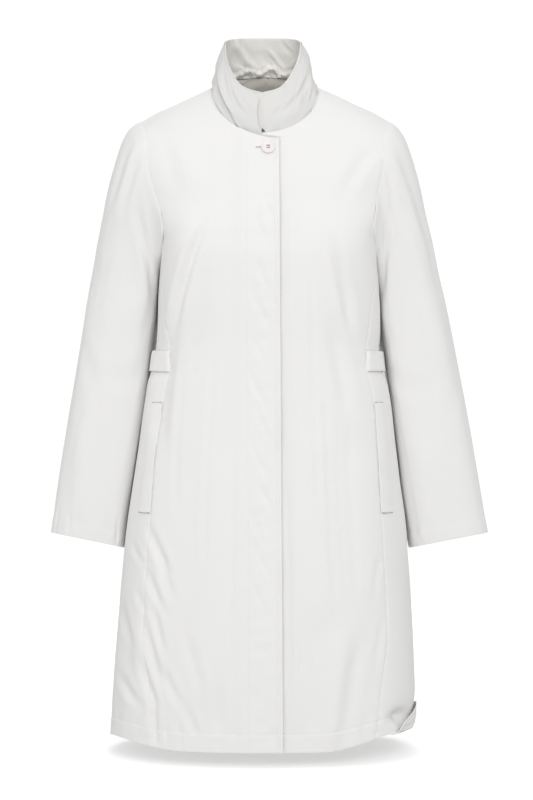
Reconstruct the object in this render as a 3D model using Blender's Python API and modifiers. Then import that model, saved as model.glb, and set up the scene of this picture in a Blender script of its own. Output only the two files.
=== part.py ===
"""Raincoat: a hollow knee-length coat with a stand collar and a fly front.

Metres, +Z up, the front faces -Y. The origin is the middle of the neck, level with
the points where the shoulder seams meet the collar. The wearer's right is -X.
"""
import math

import bmesh
import bpy
from mathutils import Vector

# Cloth
WALL = 0.0016
COLLAR_WALL = 0.0012
SEAM_GAP = 0.0003
LAID_GAP = 0.0006

# Heights
HEM_Z = -0.971
UNDERARM_Z = -0.236
WELT_BOTTOM_Z = -0.634
WELT_TOP_Z = -0.4735
BELT_BOTTOM_Z = -0.428
BELT_TOP_Z = -0.398

# Fly front: each front runs past the middle by the lap
LAP = 0.021
LAP_RISE_START = 0.030
LAP_RISE_END = 0.050

# Mesh sizes
FRONT_COLUMNS = 12
NECK_COLUMNS = 6
BACK_HALF_COLUMNS = 12
ROWS_ABOVE = 9
ROW_BIAS = 1.5
SLEEVE_SIDES = 18
SLEEVE_RINGS = 17
COLLAR_COLUMNS = 34
COLLAR_ROWS = 4

# Heights of the rows of the panels up to the underarm; the belt and welts lie between rows.
ROW_HEIGHTS = (
    HEM_Z, -0.945, -0.900, -0.850, -0.800, -0.750, -0.700, -0.665, WELT_BOTTOM_Z, -0.600, -0.565,
    -0.530, -0.500, WELT_TOP_Z, -0.450, BELT_BOTTOM_Z, BELT_TOP_Z, -0.370, -0.335, -0.300, -0.268,
    UNDERARM_Z,
)

# Body sections, hem to back neck. The outside of the cloth.
# height, half width, front depth, back depth, squareness
SECTIONS = (
    (-0.972, 0.2280, 0.1600, 0.1600, 2.25),
    (-0.860, 0.2235, 0.1530, 0.1540, 2.25),
    (-0.770, 0.2175, 0.1460, 0.1480, 2.25),
    (-0.710, 0.2130, 0.1410, 0.1430, 2.25),
    (-0.620, 0.2020, 0.1340, 0.1360, 2.25),
    (-0.545, 0.1900, 0.1280, 0.1290, 2.25),
    (-0.470, 0.1790, 0.1230, 0.1220, 2.25),
    (-0.428, 0.1690, 0.1210, 0.1180, 2.25),
    (-0.385, 0.1570, 0.1200, 0.1160, 2.25),
    (-0.320, 0.1570, 0.1230, 0.1200, 2.25),
    (-0.260, 0.1535, 0.1240, 0.1270, 2.25),
    (-0.236, 0.1530, 0.1220, 0.1290, 2.25),
    (-0.206, 0.1710, 0.1175, 0.1310, 2.30),
    (-0.177, 0.1980, 0.1120, 0.1300, 2.30),
    (-0.147, 0.2220, 0.1060, 0.1270, 2.30),
    (-0.117, 0.2340, 0.0980, 0.1210, 2.30),
    (-0.083, 0.2210, 0.0865, 0.1110, 2.30),
    (-0.056, 0.1870, 0.0730, 0.0970, 2.30),
    (-0.041, 0.1600, 0.0630, 0.0870, 2.30),
    (-0.023, 0.1195, 0.0520, 0.0780, 2.30),
    (0.000, 0.0795, 0.0400, 0.0690, 2.30),
    (0.008, 0.0780, 0.0380, 0.0670, 2.30),
    (0.014, 0.0720, 0.0370, 0.0665, 2.30),
    (0.020, 0.0660, 0.0360, 0.0660, 2.30),
)

# Side seam, which sits forward of the side.
# height, share of the half width
SIDE_SEAM = (
    (-0.972, 0.702),
    (-0.877, 0.760),
    (-0.804, 0.809),
    (-0.700, 0.814),
    (-0.630, 0.818),
    (-0.550, 0.838),
    (-0.472, 0.849),
    (-0.430, 0.842),
    (-0.400, 0.870),
    (-0.345, 0.911),
    (-0.300, 0.952),
    (-0.270, 0.980),
    (-0.236, 1.000),
)

# Armhole from the shoulder point to the underarm.
# distance across, height
ARMHOLE = (
    (0.1870, -0.0560),
    (0.1790, -0.0825),
    (0.1730, -0.1170),
    (0.1670, -0.1470),
    (0.1600, -0.1770),
    (0.1515, -0.2060),
    (0.1500, -0.2240),
    (0.1530, -0.2360),
)

# Front neck edge from the end of the lap to the shoulder seam.
# distance across, height
NECK_FRONT = (
    (-0.0210, -0.0880),
    (0.0000, -0.0855),
    (0.0300, -0.0775),
    (0.0570, -0.0615),
    (0.0720, -0.0440),
    (0.0790, -0.0240),
    (0.0795, 0.0000),
)

# Back neck edge from the middle to the shoulder seam.
# distance across, height
NECK_BACK = (
    (0.0000, 0.0200),
    (0.0300, 0.0185),
    (0.0600, 0.0130),
    (0.0760, 0.0060),
    (0.0795, 0.0000),
)

# Sleeve rings, armhole to cuff. The outside of the cloth.
# along, outer across, outer height, inner across, inner height, front depth, back depth, middle y
SLEEVE = (
    (0.000, 0.1870, -0.0560, 0.1550, -0.2360, 0.082, 0.092, 0.000),
    (0.008, 0.1970, -0.0590, 0.1555, -0.2410, 0.082, 0.091, 0.001),
    (0.025, 0.2110, -0.0765, 0.1560, -0.2480, 0.080, 0.089, 0.004),
    (0.050, 0.2230, -0.1100, 0.1565, -0.2580, 0.077, 0.085, 0.008),
    (0.080, 0.2340, -0.1500, 0.1570, -0.2700, 0.073, 0.080, 0.013),
    (0.115, 0.2415, -0.1900, 0.1580, -0.2900, 0.069, 0.074, 0.018),
    (0.155, 0.2500, -0.2300, 0.1600, -0.3180, 0.065, 0.069, 0.022),
    (0.200, 0.2580, -0.2750, 0.1635, -0.3530, 0.063, 0.065, 0.026),
    (0.245, 0.2665, -0.3200, 0.1700, -0.3920, 0.061, 0.062, 0.028),
    (0.330, 0.2830, -0.4100, 0.1815, -0.4700, 0.059, 0.060, 0.031),
    (0.440, 0.3035, -0.5300, 0.1965, -0.5700, 0.058, 0.059, 0.032),
    (0.495, 0.3130, -0.5900, 0.2045, -0.6200, 0.057, 0.058, 0.032),
    (0.570, 0.3235, -0.6670, 0.2155, -0.6900, 0.056, 0.057, 0.032),
)
SLEEVE_SQUARENESS = 2.2
SLEEVE_CAP_BLEND = 0.16
SLEEVE_RING_BIAS = 1.25
UNDERARM_CLEAR = 0.0030
# How far along the sleeve sets out from the armhole.
SLEEVE_SET_OUT = 0.03
# The outer sides of the two sleeves hang a little differently; side -1 is the wearer's right.
# side: out at the upper arm, out at the cuff
SLEEVE_HANG = {-1: (0.0045, 0.0025), 1: (0.0015, 0.0105)}

# Collar, angle from the middle of the front round to the back, either way.
# angle, foot across, foot y, foot height, rim across, rim y, rim height
COLLAR = (
    (0.0, 0.0000, -0.0850, -0.0785, 0.0000, -0.0770, -0.0200),
    (22.0, 0.0310, -0.0800, -0.0715, 0.0250, -0.0710, -0.0120),
    (45.0, 0.0575, -0.0690, -0.0550, 0.0440, -0.0540, 0.0130),
    (68.0, 0.0780, -0.0440, -0.0178, 0.0560, -0.0270, 0.0450),
    (90.0, 0.0795, -0.0060, 0.0042, 0.0585, 0.0020, 0.0655),
    (115.0, 0.0730, 0.0290, 0.0116, 0.0535, 0.0270, 0.0750),
    (145.0, 0.0450, 0.0555, 0.0180, 0.0330, 0.0440, 0.0805),
    (180.0, 0.0000, 0.0646, 0.0212, 0.0000, 0.0510, 0.0820),
)
# The rim leans towards the wearer's right.
COLLAR_LEAN = -0.0045
COLLAR_BULGE = 0.0035
COLLAR_UNDER_END = -16.0
COLLAR_OVER_END = 352.0
COLLAR_LAP_RISE_START = 285.0
COLLAR_LAP_RISE_END = 335.0
COLLAR_LAP_RISE = 2 * COLLAR_WALL + SEAM_GAP + LAID_GAP

# Lining band inside the back neck
LINING_WALL = 0.0010
LINING_HALF_COLUMNS = 5
LINING_ROWS = 2

# Half belt
BELT_WALL = 0.0014
BELT_STAND_OFF = 0.0065

# Pocket welts
WELT_WIDTH_TOP = 0.021
WELT_WIDTH_BOTTOM = 0.027
WELT_WALL = 0.0014

# Button
BUTTON_X = 0.0050
BUTTON_Z = -0.1045
BUTTON_RADIUS = 0.01035
BUTTON_THICK = 0.0034
BUTTON_RIM = 0.0022
BUTTON_DISH = 0.0009
BUTTON_STEPS = 32
BUTTON_EDGE = 0.0010
BUTTON_CROWN = 0.0002
BUTTON_CLEAR = 0.0004
HOLE_RADIUS = 0.0008
HOLE_OFFSET = 0.0014
HOLE_SIDES = 12

# Soft folds of the body: ridges above zero, troughs below.
# start across, start height, end across, end height, width, rise
BODY_FOLDS = (
    (-0.093, -0.220, -0.134, -0.375, 0.016, -0.0040),
    (-0.128, -0.250, -0.152, -0.480, 0.022, 0.0035),
    (0.104, -0.235, 0.127, -0.360, 0.018, -0.0030),
    (0.100, -0.360, 0.122, -0.480, 0.020, 0.0030),
    (-0.150, -0.085, -0.128, -0.150, 0.018, 0.0025),
    (0.152, -0.095, 0.115, -0.155, 0.018, 0.0025),
    (-0.130, -0.700, -0.150, -0.930, 0.024, -0.0030),
    (0.132, -0.800, 0.112, -0.965, 0.024, -0.0035),
    (-0.060, -0.560, -0.080, -0.900, 0.030, 0.0025),
    (0.070, -0.560, 0.088, -0.900, 0.030, 0.0025),
)
BACK_FOLDS = (
    (-0.090, -0.440, -0.130, -0.900, 0.034, 0.0045),
    (0.085, -0.440, 0.135, -0.920, 0.034, 0.0045),
    (-0.010, -0.460, 0.015, -0.930, 0.034, -0.0040),
    (-0.110, -0.210, -0.060, -0.370, 0.024, -0.0030),
    (0.105, -0.215, 0.065, -0.370, 0.024, -0.0030),
)
FOLD_FADE = 0.035
# The folds die away towards the sides, below this share of facing front or back.
FOLD_SIDE_SHARE = 0.35

# The hem turns outward at the wearer's left side.
FLIP_ANGLE = 74.0
FLIP_HALF_ANGLE = 17.0
FLIP_HEIGHT = 0.050
FLIP_OUT = 0.010
FLIP_UP = 0.012

# Colours, linear, and roughness
COAT_COLOUR = (0.800, 0.790, 0.765)
FACING_COLOUR = (0.700, 0.690, 0.655)
LINING_COLOUR = (0.480, 0.460, 0.415)
BUTTON_COLOUR = (0.850, 0.790, 0.795)
COAT_ROUGHNESS = 0.75
FACING_ROUGHNESS = 0.80
LINING_ROUGHNESS = 0.60
BUTTON_ROUGHNESS = 0.30


def lerp(start, end, share):
    return start + (end - start) * share


def smooth(value, start, end):
    """0 before start, 1 after end, smooth between."""
    share = min(1.0, max(0.0, (value - start) / (end - start)))
    return share * share * (3.0 - 2.0 * share)


def table_value(table, key, column):
    """Smooth value of one column; the keys are column 0 and rise."""
    if key <= table[0][0]:
        return table[0][column]
    if key >= table[-1][0]:
        return table[-1][column]
    row = 0
    while table[row + 1][0] < key:
        row += 1

    def step(index):
        width = table[index + 1][0] - table[index][0]
        return (table[index + 1][column] - table[index][column]) / width

    def slope(index):
        if index == 0:
            return step(0)
        if index == len(table) - 1:
            return step(index - 1)
        before = step(index - 1)
        after = step(index)
        if before * after <= 0.0:
            return 0.0
        return 2.0 * before * after / (before + after)

    width = table[row + 1][0] - table[row][0]
    share = (key - table[row][0]) / width
    start = table[row][column]
    end = table[row + 1][column]
    rise_start = slope(row) * width
    rise_end = slope(row + 1) * width
    square = share * share
    cube = square * share
    return (start * (2 * cube - 3 * square + 1) + rise_start * (cube - 2 * square + share)
            + end * (3 * square - 2 * cube) + rise_end * (cube - square))


def curve_keys(table):
    """Share of the length at each row of an (across, height) table."""
    keys = [0.0]
    for before, after in zip(table, table[1:]):
        keys.append(keys[-1] + math.dist(before, after))
    return [key / keys[-1] for key in keys]


def curve_value(table, share):
    """Point at a share of the length of an (across, height) table."""
    keyed = [(key, *row) for key, row in zip(curve_keys(table), table)]
    return table_value(keyed, share, 1), table_value(keyed, share, 2)


def section(z):
    """Half width, front depth, back depth and squareness of the inside of the cloth."""
    half, front, back, square = (table_value(SECTIONS, z, column) for column in range(1, 5))
    return half - WALL, front - WALL, back - WALL, square


def skin_point(angle, z):
    """Point of the body without folds; the angle runs from the middle front towards +X."""
    half, front, back, square = section(z)
    across = math.sin(angle)
    along = math.cos(angle)
    depth = front if along > 0.0 else back
    radius = ((abs(across) / half) ** square + (abs(along) / depth) ** square) ** (-1.0 / square)
    return Vector((radius * across, -radius * along, z))


def skin_normal(angle, z):
    """Outward direction of the body."""
    turn = 0.01
    rise = 0.002
    across = skin_point(angle + turn, z) - skin_point(angle - turn, z)
    up = skin_point(angle, z + rise) - skin_point(angle, z - rise)
    return across.cross(up).normalized()


def front_angle(x, z):
    """Angle of the point of the front at a distance across."""
    half, front, _, square = section(z)
    share = min(1.0, abs(x) / half)
    depth = front * (1.0 - share ** square) ** (1.0 / square)
    return math.copysign(math.atan2(abs(x), depth), x)


def back_angle(x, z):
    """Angle from the middle back of the point of the back at a distance across."""
    half, _, back, square = section(z)
    share = min(1.0, abs(x) / half)
    depth = back * (1.0 - share ** square) ** (1.0 / square)
    return math.atan2(abs(x), depth)


def fold_rise(point, table):
    """Sum of the folds of a table at a point, by its distance from each fold line."""
    total = 0.0
    for x0, z0, x1, z1, width, rise in table:
        length = math.hypot(x1 - x0, z1 - z0)
        along_x = (x1 - x0) / length
        along_z = (z1 - z0) / length
        along = (point.x - x0) * along_x + (point.z - z0) * along_z
        aside = (point.x - x0) * along_z - (point.z - z0) * along_x
        fade = smooth(along, -FOLD_FADE, FOLD_FADE)
        fade *= 1.0 - smooth(along, length - FOLD_FADE, length + FOLD_FADE)
        total += rise * fade * math.exp(-(aside / width) ** 2)
    return total


def hem_flip(angle, z):
    """How far the hem is turned out at an angle and height, 0 to 1."""
    aside = abs(math.degrees(angle) - FLIP_ANGLE) / FLIP_HALF_ANGLE
    return (1.0 - smooth(aside, 0.0, 1.0)) * (1.0 - smooth(z, HEM_Z, HEM_Z + FLIP_HEIGHT))


def body_point(angle, z, out=0.0):
    """Point of the folded cloth, moved out."""
    point = skin_point(angle, z)
    normal = skin_normal(angle, z)
    folds = BODY_FOLDS if math.cos(angle) > 0.0 else BACK_FOLDS
    edge = abs(math.cos(angle))
    rise = fold_rise(point, folds) * smooth(edge, 0.0, FOLD_SIDE_SHARE)
    flip = hem_flip(angle, z)
    moved = point + normal * (out + rise + FLIP_OUT * flip)
    moved.z += FLIP_UP * flip
    return moved


def seam_angle(z):
    """Angle of the side seam from the middle front."""
    half = section(z)[0]
    return front_angle(table_value(SIDE_SEAM, z, 1) * half, z)


def gap_angle(angle, z):
    """Half of the seam gap as an angle."""
    return 0.5 * SEAM_GAP / skin_point(angle, z).to_2d().length


def coons(bottom, top, left, right, u, v):
    """Point of a four-sided patch from its edges, each a function that gives (angle, z)."""
    edges = []
    for axis in range(2):
        rows = lerp(bottom(u)[axis], top(u)[axis], v)
        columns = lerp(left(v)[axis], right(v)[axis], u)
        corners = lerp(lerp(bottom(0)[axis], bottom(1)[axis], u),
                       lerp(top(0)[axis], top(1)[axis], u), v)
        edges.append(rows + columns - corners)
    return edges


def panel_spots(columns, inner_angle, outer_angle, neck, to_angle):
    """Rows of (angle, z) for half a panel, hem to neck, from its middle edge to its side edge."""
    rows = []
    for z in ROW_HEIGHTS:
        start = inner_angle(z)
        end = outer_angle(z)
        rows.append([(lerp(start, end, column / columns), z) for column in range(columns + 1)])
    level = rows[-1]
    inner_top = neck[0][1]
    shoulder = math.pi / 2
    corner = NECK_COLUMNS / columns
    shoulder_z = ARMHOLE[0][1]

    def trimmed(angle, z):
        return min(angle, shoulder - gap_angle(shoulder, z))

    def bottom(u):
        return lerp(level[0][0], level[-1][0], u), UNDERARM_Z

    def top(u):
        if u <= corner:
            x, z = curve_value(neck, u / corner)
            return max(inner_angle(z), trimmed(to_angle(x, z), z)), z
        z = lerp(neck[-1][1], shoulder_z, (u - corner) / (1.0 - corner))
        return trimmed(shoulder, z), z

    def left(v):
        z = lerp(UNDERARM_Z, inner_top, v)
        return inner_angle(z), z

    def right(v):
        x, z = curve_value(ARMHOLE, 1.0 - v)
        return trimmed(to_angle(x, z), z), z

    for row in range(1, ROWS_ABOVE + 1):
        v = 1.0 - (1.0 - row / ROWS_ABOVE) ** ROW_BIAS
        rows.append([coons(bottom, top, left, right, column / columns, v)
                     for column in range(columns + 1)])
    return rows


def lap_rise(x):
    """How far the upper front stands off, by the distance from the middle on its own side."""
    return (WALL + LAID_GAP) * (1.0 - smooth(x, LAP_RISE_START, LAP_RISE_END))


def front_points(side):
    """Grid of a front; side is -1 for the wearer's right and 1 for the left."""

    def inner(z):
        return front_angle(-LAP, z)

    def outer(z):
        angle = seam_angle(z)
        return angle - gap_angle(angle, z)

    grid = []
    for row in panel_spots(FRONT_COLUMNS, inner, outer, NECK_FRONT, front_angle):
        points = []
        for angle, z in row:
            own = skin_point(angle, z).x
            out = lap_rise(own) if side < 0 else 0.0
            points.append(body_point(side * angle, z, out))
        grid.append(points if side > 0 else points[::-1])
    return grid


def on_middle(_):
    return 0.0


def by_middle_seam(z):
    return gap_angle(math.pi, z)


def back_spots(inner):
    """Rows of (angle from the middle back, z) for half of the back, from an inner edge."""

    def outer(z):
        angle = seam_angle(z)
        return math.pi - angle - gap_angle(angle, z)

    return panel_spots(BACK_HALF_COLUMNS, inner, outer, NECK_BACK, back_angle)


def both_halves(row, out):
    """Points right across the back, from the wearer's left to the right, each moved out."""
    left = [body_point(math.pi - angle, z, out(angle)) for angle, z in row]
    right = [body_point(math.pi + angle, z, out(angle)) for angle, z in row]
    return left[:0:-1] + right


def back_points(side):
    """Grid of half of the back; side is -1 for the wearer's right and 1 for the left."""
    grid = []
    for row in back_spots(by_middle_seam):
        points = [body_point(math.pi - side * angle, z) for angle, z in row]
        grid.append(points if side < 0 else points[::-1])
    return grid


def armhole_point(turn):
    """Point of the armhole at a turn from the shoulder, front first."""
    share = turn / math.pi
    if share <= 1.0:
        x, z = curve_value(ARMHOLE, share)
        angle = front_angle(x, z)
    else:
        x, z = curve_value(ARMHOLE, 2.0 - share)
        angle = math.pi - back_angle(x, z)
    return skin_point(angle, z)


def sleeve_ring_point(along, turn, shrink):
    """Point of a plain sleeve ring; shrink takes the wall off its sizes."""
    outer_x, outer_z, inner_x, inner_z, front, back, middle_y = (
        table_value(SLEEVE, along, column) for column in range(1, 8))
    outer = Vector((outer_x, middle_y, outer_z))
    inner = Vector((inner_x, middle_y, inner_z))
    middle = (outer + inner) / 2
    half = (outer - inner) / 2
    half *= 1.0 - shrink / half.length
    depth = (front if math.sin(turn) > 0.0 else back) - shrink
    power = 2.0 / SLEEVE_SQUARENESS
    across = math.copysign(abs(math.cos(turn)) ** power, math.cos(turn))
    deep = math.copysign(abs(math.sin(turn)) ** power, math.sin(turn))
    return middle + half * across + Vector((0.0, -depth * deep, 0.0))


def sleeve_points(side):
    """Rings of a sleeve, armhole to cuff."""
    length = SLEEVE[-1][0]
    grid = []
    for ring in range(SLEEVE_RINGS + 1):
        along = length * (ring / SLEEVE_RINGS) ** SLEEVE_RING_BIAS
        blend = 1.0 - smooth(along, 0.0, SLEEVE_CAP_BLEND)
        hang = lerp(*SLEEVE_HANG[side], along / length) * (1.0 - blend)
        points = []
        for corner in range(SLEEVE_SIDES):
            turn = 2.0 * math.pi * corner / SLEEVE_SIDES
            point = sleeve_ring_point(along, turn, WALL)
            hole = armhole_point(turn)
            ahead = (sleeve_ring_point(SLEEVE_SET_OUT, turn, WALL) - hole).normalized()
            low = 0.5 - 0.5 * math.cos(turn)
            start = hole + ahead * 2 * SEAM_GAP + Vector((UNDERARM_CLEAR * low, 0.0, 0.0))
            point += (start - sleeve_ring_point(0.0, turn, WALL)) * blend
            point.x += hang * (1.0 - low)
            point.x *= side
            points.append(point)
        grid.append(points if side < 0 else points[::-1])
    return grid


def collar_point(degrees, up, out):
    """Point of the collar at an angle and a share of its height, moved out."""
    turned = degrees if degrees <= 180.0 else 360.0 - degrees
    foot_x, foot_y, foot_z, rim_x, rim_y, rim_z = (
        table_value(COLLAR, abs(turned), column) for column in range(1, 7))
    foot = Vector((foot_x, foot_y, foot_z))
    rim = Vector((rim_x, rim_y, rim_z))
    point = foot.lerp(rim, up)
    away = Vector((point.x, point.y, 0.0)).normalized()
    point += away * (COLLAR_BULGE * math.sin(math.pi * up) + out)
    if degrees < 0.0 or degrees > 180.0:
        point.x = -point.x
    point.x += COLLAR_LEAN * up
    return point


def collar_points(out):
    """Grid of the collar, from the end that lies under to the end that lies over."""
    grid = []
    for row in range(COLLAR_ROWS + 1):
        up = row / COLLAR_ROWS
        points = []
        for column in range(COLLAR_COLUMNS + 1):
            degrees = lerp(COLLAR_UNDER_END, COLLAR_OVER_END, column / COLLAR_COLUMNS)
            rise = COLLAR_LAP_RISE * smooth(degrees, COLLAR_LAP_RISE_START, COLLAR_LAP_RISE_END)
            points.append(collar_point(degrees, up, out + rise))
        grid.append(points)
    return grid


def lining_points():
    """Grid of the lining band, on the inside of the top rows of the back."""
    rows = [row[:LINING_HALF_COLUMNS + 1] for row in back_spots(on_middle)[-1 - LINING_ROWS:]]
    return [both_halves(row, lambda angle: -SEAM_GAP) for row in rows]


def belt_points():
    """Grid of the half belt, on two rows of the back; its top edge stands off at the sides."""
    laid = WALL + LAID_GAP
    spots = back_spots(on_middle)
    first = ROW_HEIGHTS.index(BELT_BOTTOM_Z)
    bottom = both_halves(spots[first], lambda angle: laid)
    top = both_halves(spots[first + 1], lambda angle: laid + BELT_STAND_OFF * math.sin(angle) ** 4)
    return [bottom, top]


def welt_points(side):
    """Grid of a pocket welt, on the rows of the back, from the seam towards the back."""
    first = ROW_HEIGHTS.index(WELT_BOTTOM_Z)
    last = ROW_HEIGHTS.index(WELT_TOP_Z)
    grid = []
    for row in back_spots(on_middle)[first:last + 1]:
        angle, z = row[-1]
        share = (z - WELT_BOTTOM_Z) / (WELT_TOP_Z - WELT_BOTTOM_Z)
        width = lerp(WELT_WIDTH_BOTTOM, WELT_WIDTH_TOP, share)
        seam = body_point(side * (math.pi - angle), z, WALL + LAID_GAP)
        behind = body_point(side * (math.pi - row[-2][0]), z, WALL + LAID_GAP)
        edge = seam + (behind - seam).normalized() * width
        grid.append([seam, edge] if side > 0 else [edge, seam])
    return grid


def material(name, colour, roughness):
    made = bpy.data.materials.new(name)
    made.use_nodes = True
    shader = made.node_tree.nodes["Principled BSDF"]
    shader.inputs["Base Color"].default_value = (*colour, 1.0)
    shader.inputs["Roughness"].default_value = roughness
    shader.inputs["Metallic"].default_value = 0.0
    return made


def collection(name):
    made = bpy.data.collections.new(name)
    bpy.context.scene.collection.children.link(made)
    return made


def loft(name, grid, closed, wall, offset, look, home):
    """A shell on a grid of points: rows of quads, then a Solidify wall."""
    mesh = bpy.data.meshes.new(name)
    shape = bmesh.new()
    rows = [[shape.verts.new(point) for point in row] for row in grid]
    count = len(grid[0])
    for low, high in zip(rows, rows[1:]):
        for start in range(count if closed else count - 1):
            end = (start + 1) % count
            shape.faces.new((low[start], low[end], high[end], high[start]))
    shape.to_mesh(mesh)
    shape.free()
    for face in mesh.polygons:
        face.use_smooth = True
    mesh.materials.append(look)
    piece = bpy.data.objects.new(name, mesh)
    home.objects.link(piece)
    shell = piece.modifiers.new("wall", "SOLIDIFY")
    shell.thickness = wall
    shell.offset = offset
    shell.use_even_offset = True
    return piece


def button(look, home, cutters):
    """Dished button with a raised rim and four holes, turned round its middle."""
    dish = BUTTON_THICK - BUTTON_DISH
    rim = BUTTON_RADIUS - BUTTON_RIM
    profile = (
        (0.0, 0.0),
        (BUTTON_RADIUS - BUTTON_EDGE, 0.0),
        (BUTTON_RADIUS, BUTTON_EDGE),
        (BUTTON_RADIUS, BUTTON_THICK - BUTTON_EDGE),
        (BUTTON_RADIUS - BUTTON_EDGE, BUTTON_THICK),
        (rim, BUTTON_THICK - BUTTON_CROWN),
        (rim - BUTTON_EDGE, dish),
        (0.0, dish),
    )
    mesh = bpy.data.meshes.new("button")
    edges = [(index, index + 1) for index in range(len(profile) - 1)]
    mesh.from_pydata([(radius, 0.0, height) for radius, height in profile], edges, [])
    mesh.materials.append(look)
    piece = bpy.data.objects.new("button", mesh)
    home.objects.link(piece)
    turned = piece.modifiers.new("turned", "SCREW")
    turned.steps = BUTTON_STEPS
    turned.render_steps = BUTTON_STEPS
    turned.use_merge_vertices = True
    turned.merge_threshold = 0.00001
    turned.use_normal_calculate = True
    bpy.ops.mesh.primitive_cylinder_add(vertices=HOLE_SIDES, radius=HOLE_RADIUS, depth=4 * BUTTON_THICK)
    cutter = bpy.context.object
    cutter.name = "button_holes"
    for home_before in list(cutter.users_collection):
        home_before.objects.unlink(cutter)
    cutters.objects.link(cutter)
    base = cutter.data
    shape = bmesh.new()
    for across in (-HOLE_OFFSET, HOLE_OFFSET):
        for up in (-HOLE_OFFSET, HOLE_OFFSET):
            first = len(shape.verts)
            shape.from_mesh(base)
            shape.verts.ensure_lookup_table()
            bmesh.ops.translate(shape, verts=shape.verts[first:], vec=(across, up, 0.0))
    shape.to_mesh(base)
    shape.free()
    cutter.hide_render = True
    cutter.display_type = "WIRE"
    holes = piece.modifiers.new("holes", "BOOLEAN")
    holes.operation = "DIFFERENCE"
    holes.solver = "EXACT"
    holes.object = cutter
    angle = front_angle(BUTTON_X, BUTTON_Z)
    cloth = WALL + WALL + LAID_GAP
    spot = body_point(angle, BUTTON_Z, cloth + BUTTON_CLEAR)
    facing = skin_normal(angle, BUTTON_Z).to_track_quat("Z", "Y")
    for placed in (piece, cutter):
        placed.rotation_mode = "QUATERNION"
        placed.rotation_quaternion = facing
        placed.location = spot
    return piece


def build():
    for old in list(bpy.data.objects):
        bpy.data.objects.remove(old, do_unlink=True)
    home = collection("raincoat")
    cutters = collection("cutters")

    def coat(name):
        return material(name, COAT_COLOUR, COAT_ROUGHNESS)

    for name, side in (("right", -1), ("left", 1)):
        loft("front_" + name, front_points(side), False, WALL, 1.0, coat("front_" + name), home)
        loft("back_" + name, back_points(side), False, WALL, 1.0, coat("back_" + name), home)
        loft("sleeve_" + name, sleeve_points(side), True, WALL, 1.0, coat("sleeve_" + name), home)
        welt = "pocket_welt_" + name
        loft(welt, welt_points(side), False, WELT_WALL, 1.0, coat(welt), home)
    loft("half_belt", belt_points(), False, BELT_WALL, 1.0, coat("half_belt"), home)
    loft("collar", collar_points(0.0), False, COLLAR_WALL, 1.0, coat("collar"), home)
    facing = material("collar_facing", FACING_COLOUR, FACING_ROUGHNESS)
    loft("collar_facing", collar_points(-SEAM_GAP), False, COLLAR_WALL, -1.0, facing, home)
    lining = material("back_neck_lining", LINING_COLOUR, LINING_ROUGHNESS)
    loft("back_neck_lining", lining_points(), False, LINING_WALL, -1.0, lining, home)
    button(material("button", BUTTON_COLOUR, BUTTON_ROUGHNESS), home, cutters)


build()
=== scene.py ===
import math

import bmesh
import bpy
import numpy as np
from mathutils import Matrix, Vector


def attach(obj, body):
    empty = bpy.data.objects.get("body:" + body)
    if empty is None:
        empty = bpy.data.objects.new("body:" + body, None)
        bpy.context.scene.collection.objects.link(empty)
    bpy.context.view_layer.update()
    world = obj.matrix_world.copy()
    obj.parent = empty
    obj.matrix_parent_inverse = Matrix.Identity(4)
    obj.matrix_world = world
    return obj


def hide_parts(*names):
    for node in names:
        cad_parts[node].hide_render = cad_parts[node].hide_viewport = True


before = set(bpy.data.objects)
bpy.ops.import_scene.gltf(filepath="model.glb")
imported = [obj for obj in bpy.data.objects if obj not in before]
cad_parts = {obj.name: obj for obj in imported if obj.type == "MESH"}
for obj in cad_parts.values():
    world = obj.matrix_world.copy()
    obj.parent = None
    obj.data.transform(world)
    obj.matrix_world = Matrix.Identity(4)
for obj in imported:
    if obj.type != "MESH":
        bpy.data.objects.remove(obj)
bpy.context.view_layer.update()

# Tables are in millimetres, degrees and shares, single lengths in metres.
# A factor for each column turns it into metres, or keeps it.
MM = 0.001
DEGREE_OF_COLLAR = 0.0012
DEGREE_OF_SLEEVE = 0.00095
COLLAR_HEIGHT = 0.066
FOLD = 7 * (MM,)
COLLAR_FOLD = 2 * (DEGREE_OF_COLLAR, COLLAR_HEIGHT) + 3 * (MM,)
SLEEVE_FOLD = 2 * (DEGREE_OF_SLEEVE, MM) + 3 * (MM,)


def measured(factors, rows):
    """A table with each column multiplied by its factor."""
    return np.array(rows) * np.array(factors)


# Cloth
WALL = 0.0016
SHELL = 0.0012
COLLAR_WALL = 0.0012
COLLAR_SHELL = 0.0010
HEM_Z = -0.971
UNDERARM_Z = -0.236

# Body sections, hem to back neck. The outside of the cloth.
# height, half width, front depth, back depth, squareness
SECTIONS = measured((MM, MM, MM, MM, 1.0), (
    (-972, 228, 160, 160, 2.4),
    (-860, 223.5, 153, 154, 2.4),
    (-770, 217.5, 146, 148, 2.4),
    (-710, 213, 141, 143, 2.4),
    (-620, 202, 134, 136, 2.4),
    (-545, 190, 128, 129, 2.4),
    (-470, 179, 123, 122, 2.4),
    (-428, 169, 121, 118, 2.45),
    (-385, 157, 120, 116, 2.65),
    (-320, 157, 123, 120, 3.1),
    (-260, 153.5, 124, 127, 3.6),
    (-236, 153, 122, 129, 3.9),
    (-206, 171, 118, 131, 3),
    (-177, 198, 112, 130, 2.42),
    (-147, 222, 106, 127, 2.3),
    (-117, 234, 98, 121, 2.3),
    (-83, 221, 86.5, 111, 2.3),
    (-56, 187, 73, 97, 2.3),
    (-41, 162.4, 63, 87, 2.3),
    (-32, 142.8, 57.5, 82.5, 2.3),
    (-23, 124, 52, 78, 2.3),
    (-13.5, 103, 47, 74.2, 2.3),
    (-5, 85.8, 42.4, 70.8, 2.3),
    (0, 78.6, 40, 69, 2.3),
    (8, 78, 38, 67, 2.3),
    (14, 72, 37, 66.5, 2.3),
    (20, 66, 36, 66, 2.3),
))

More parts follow.
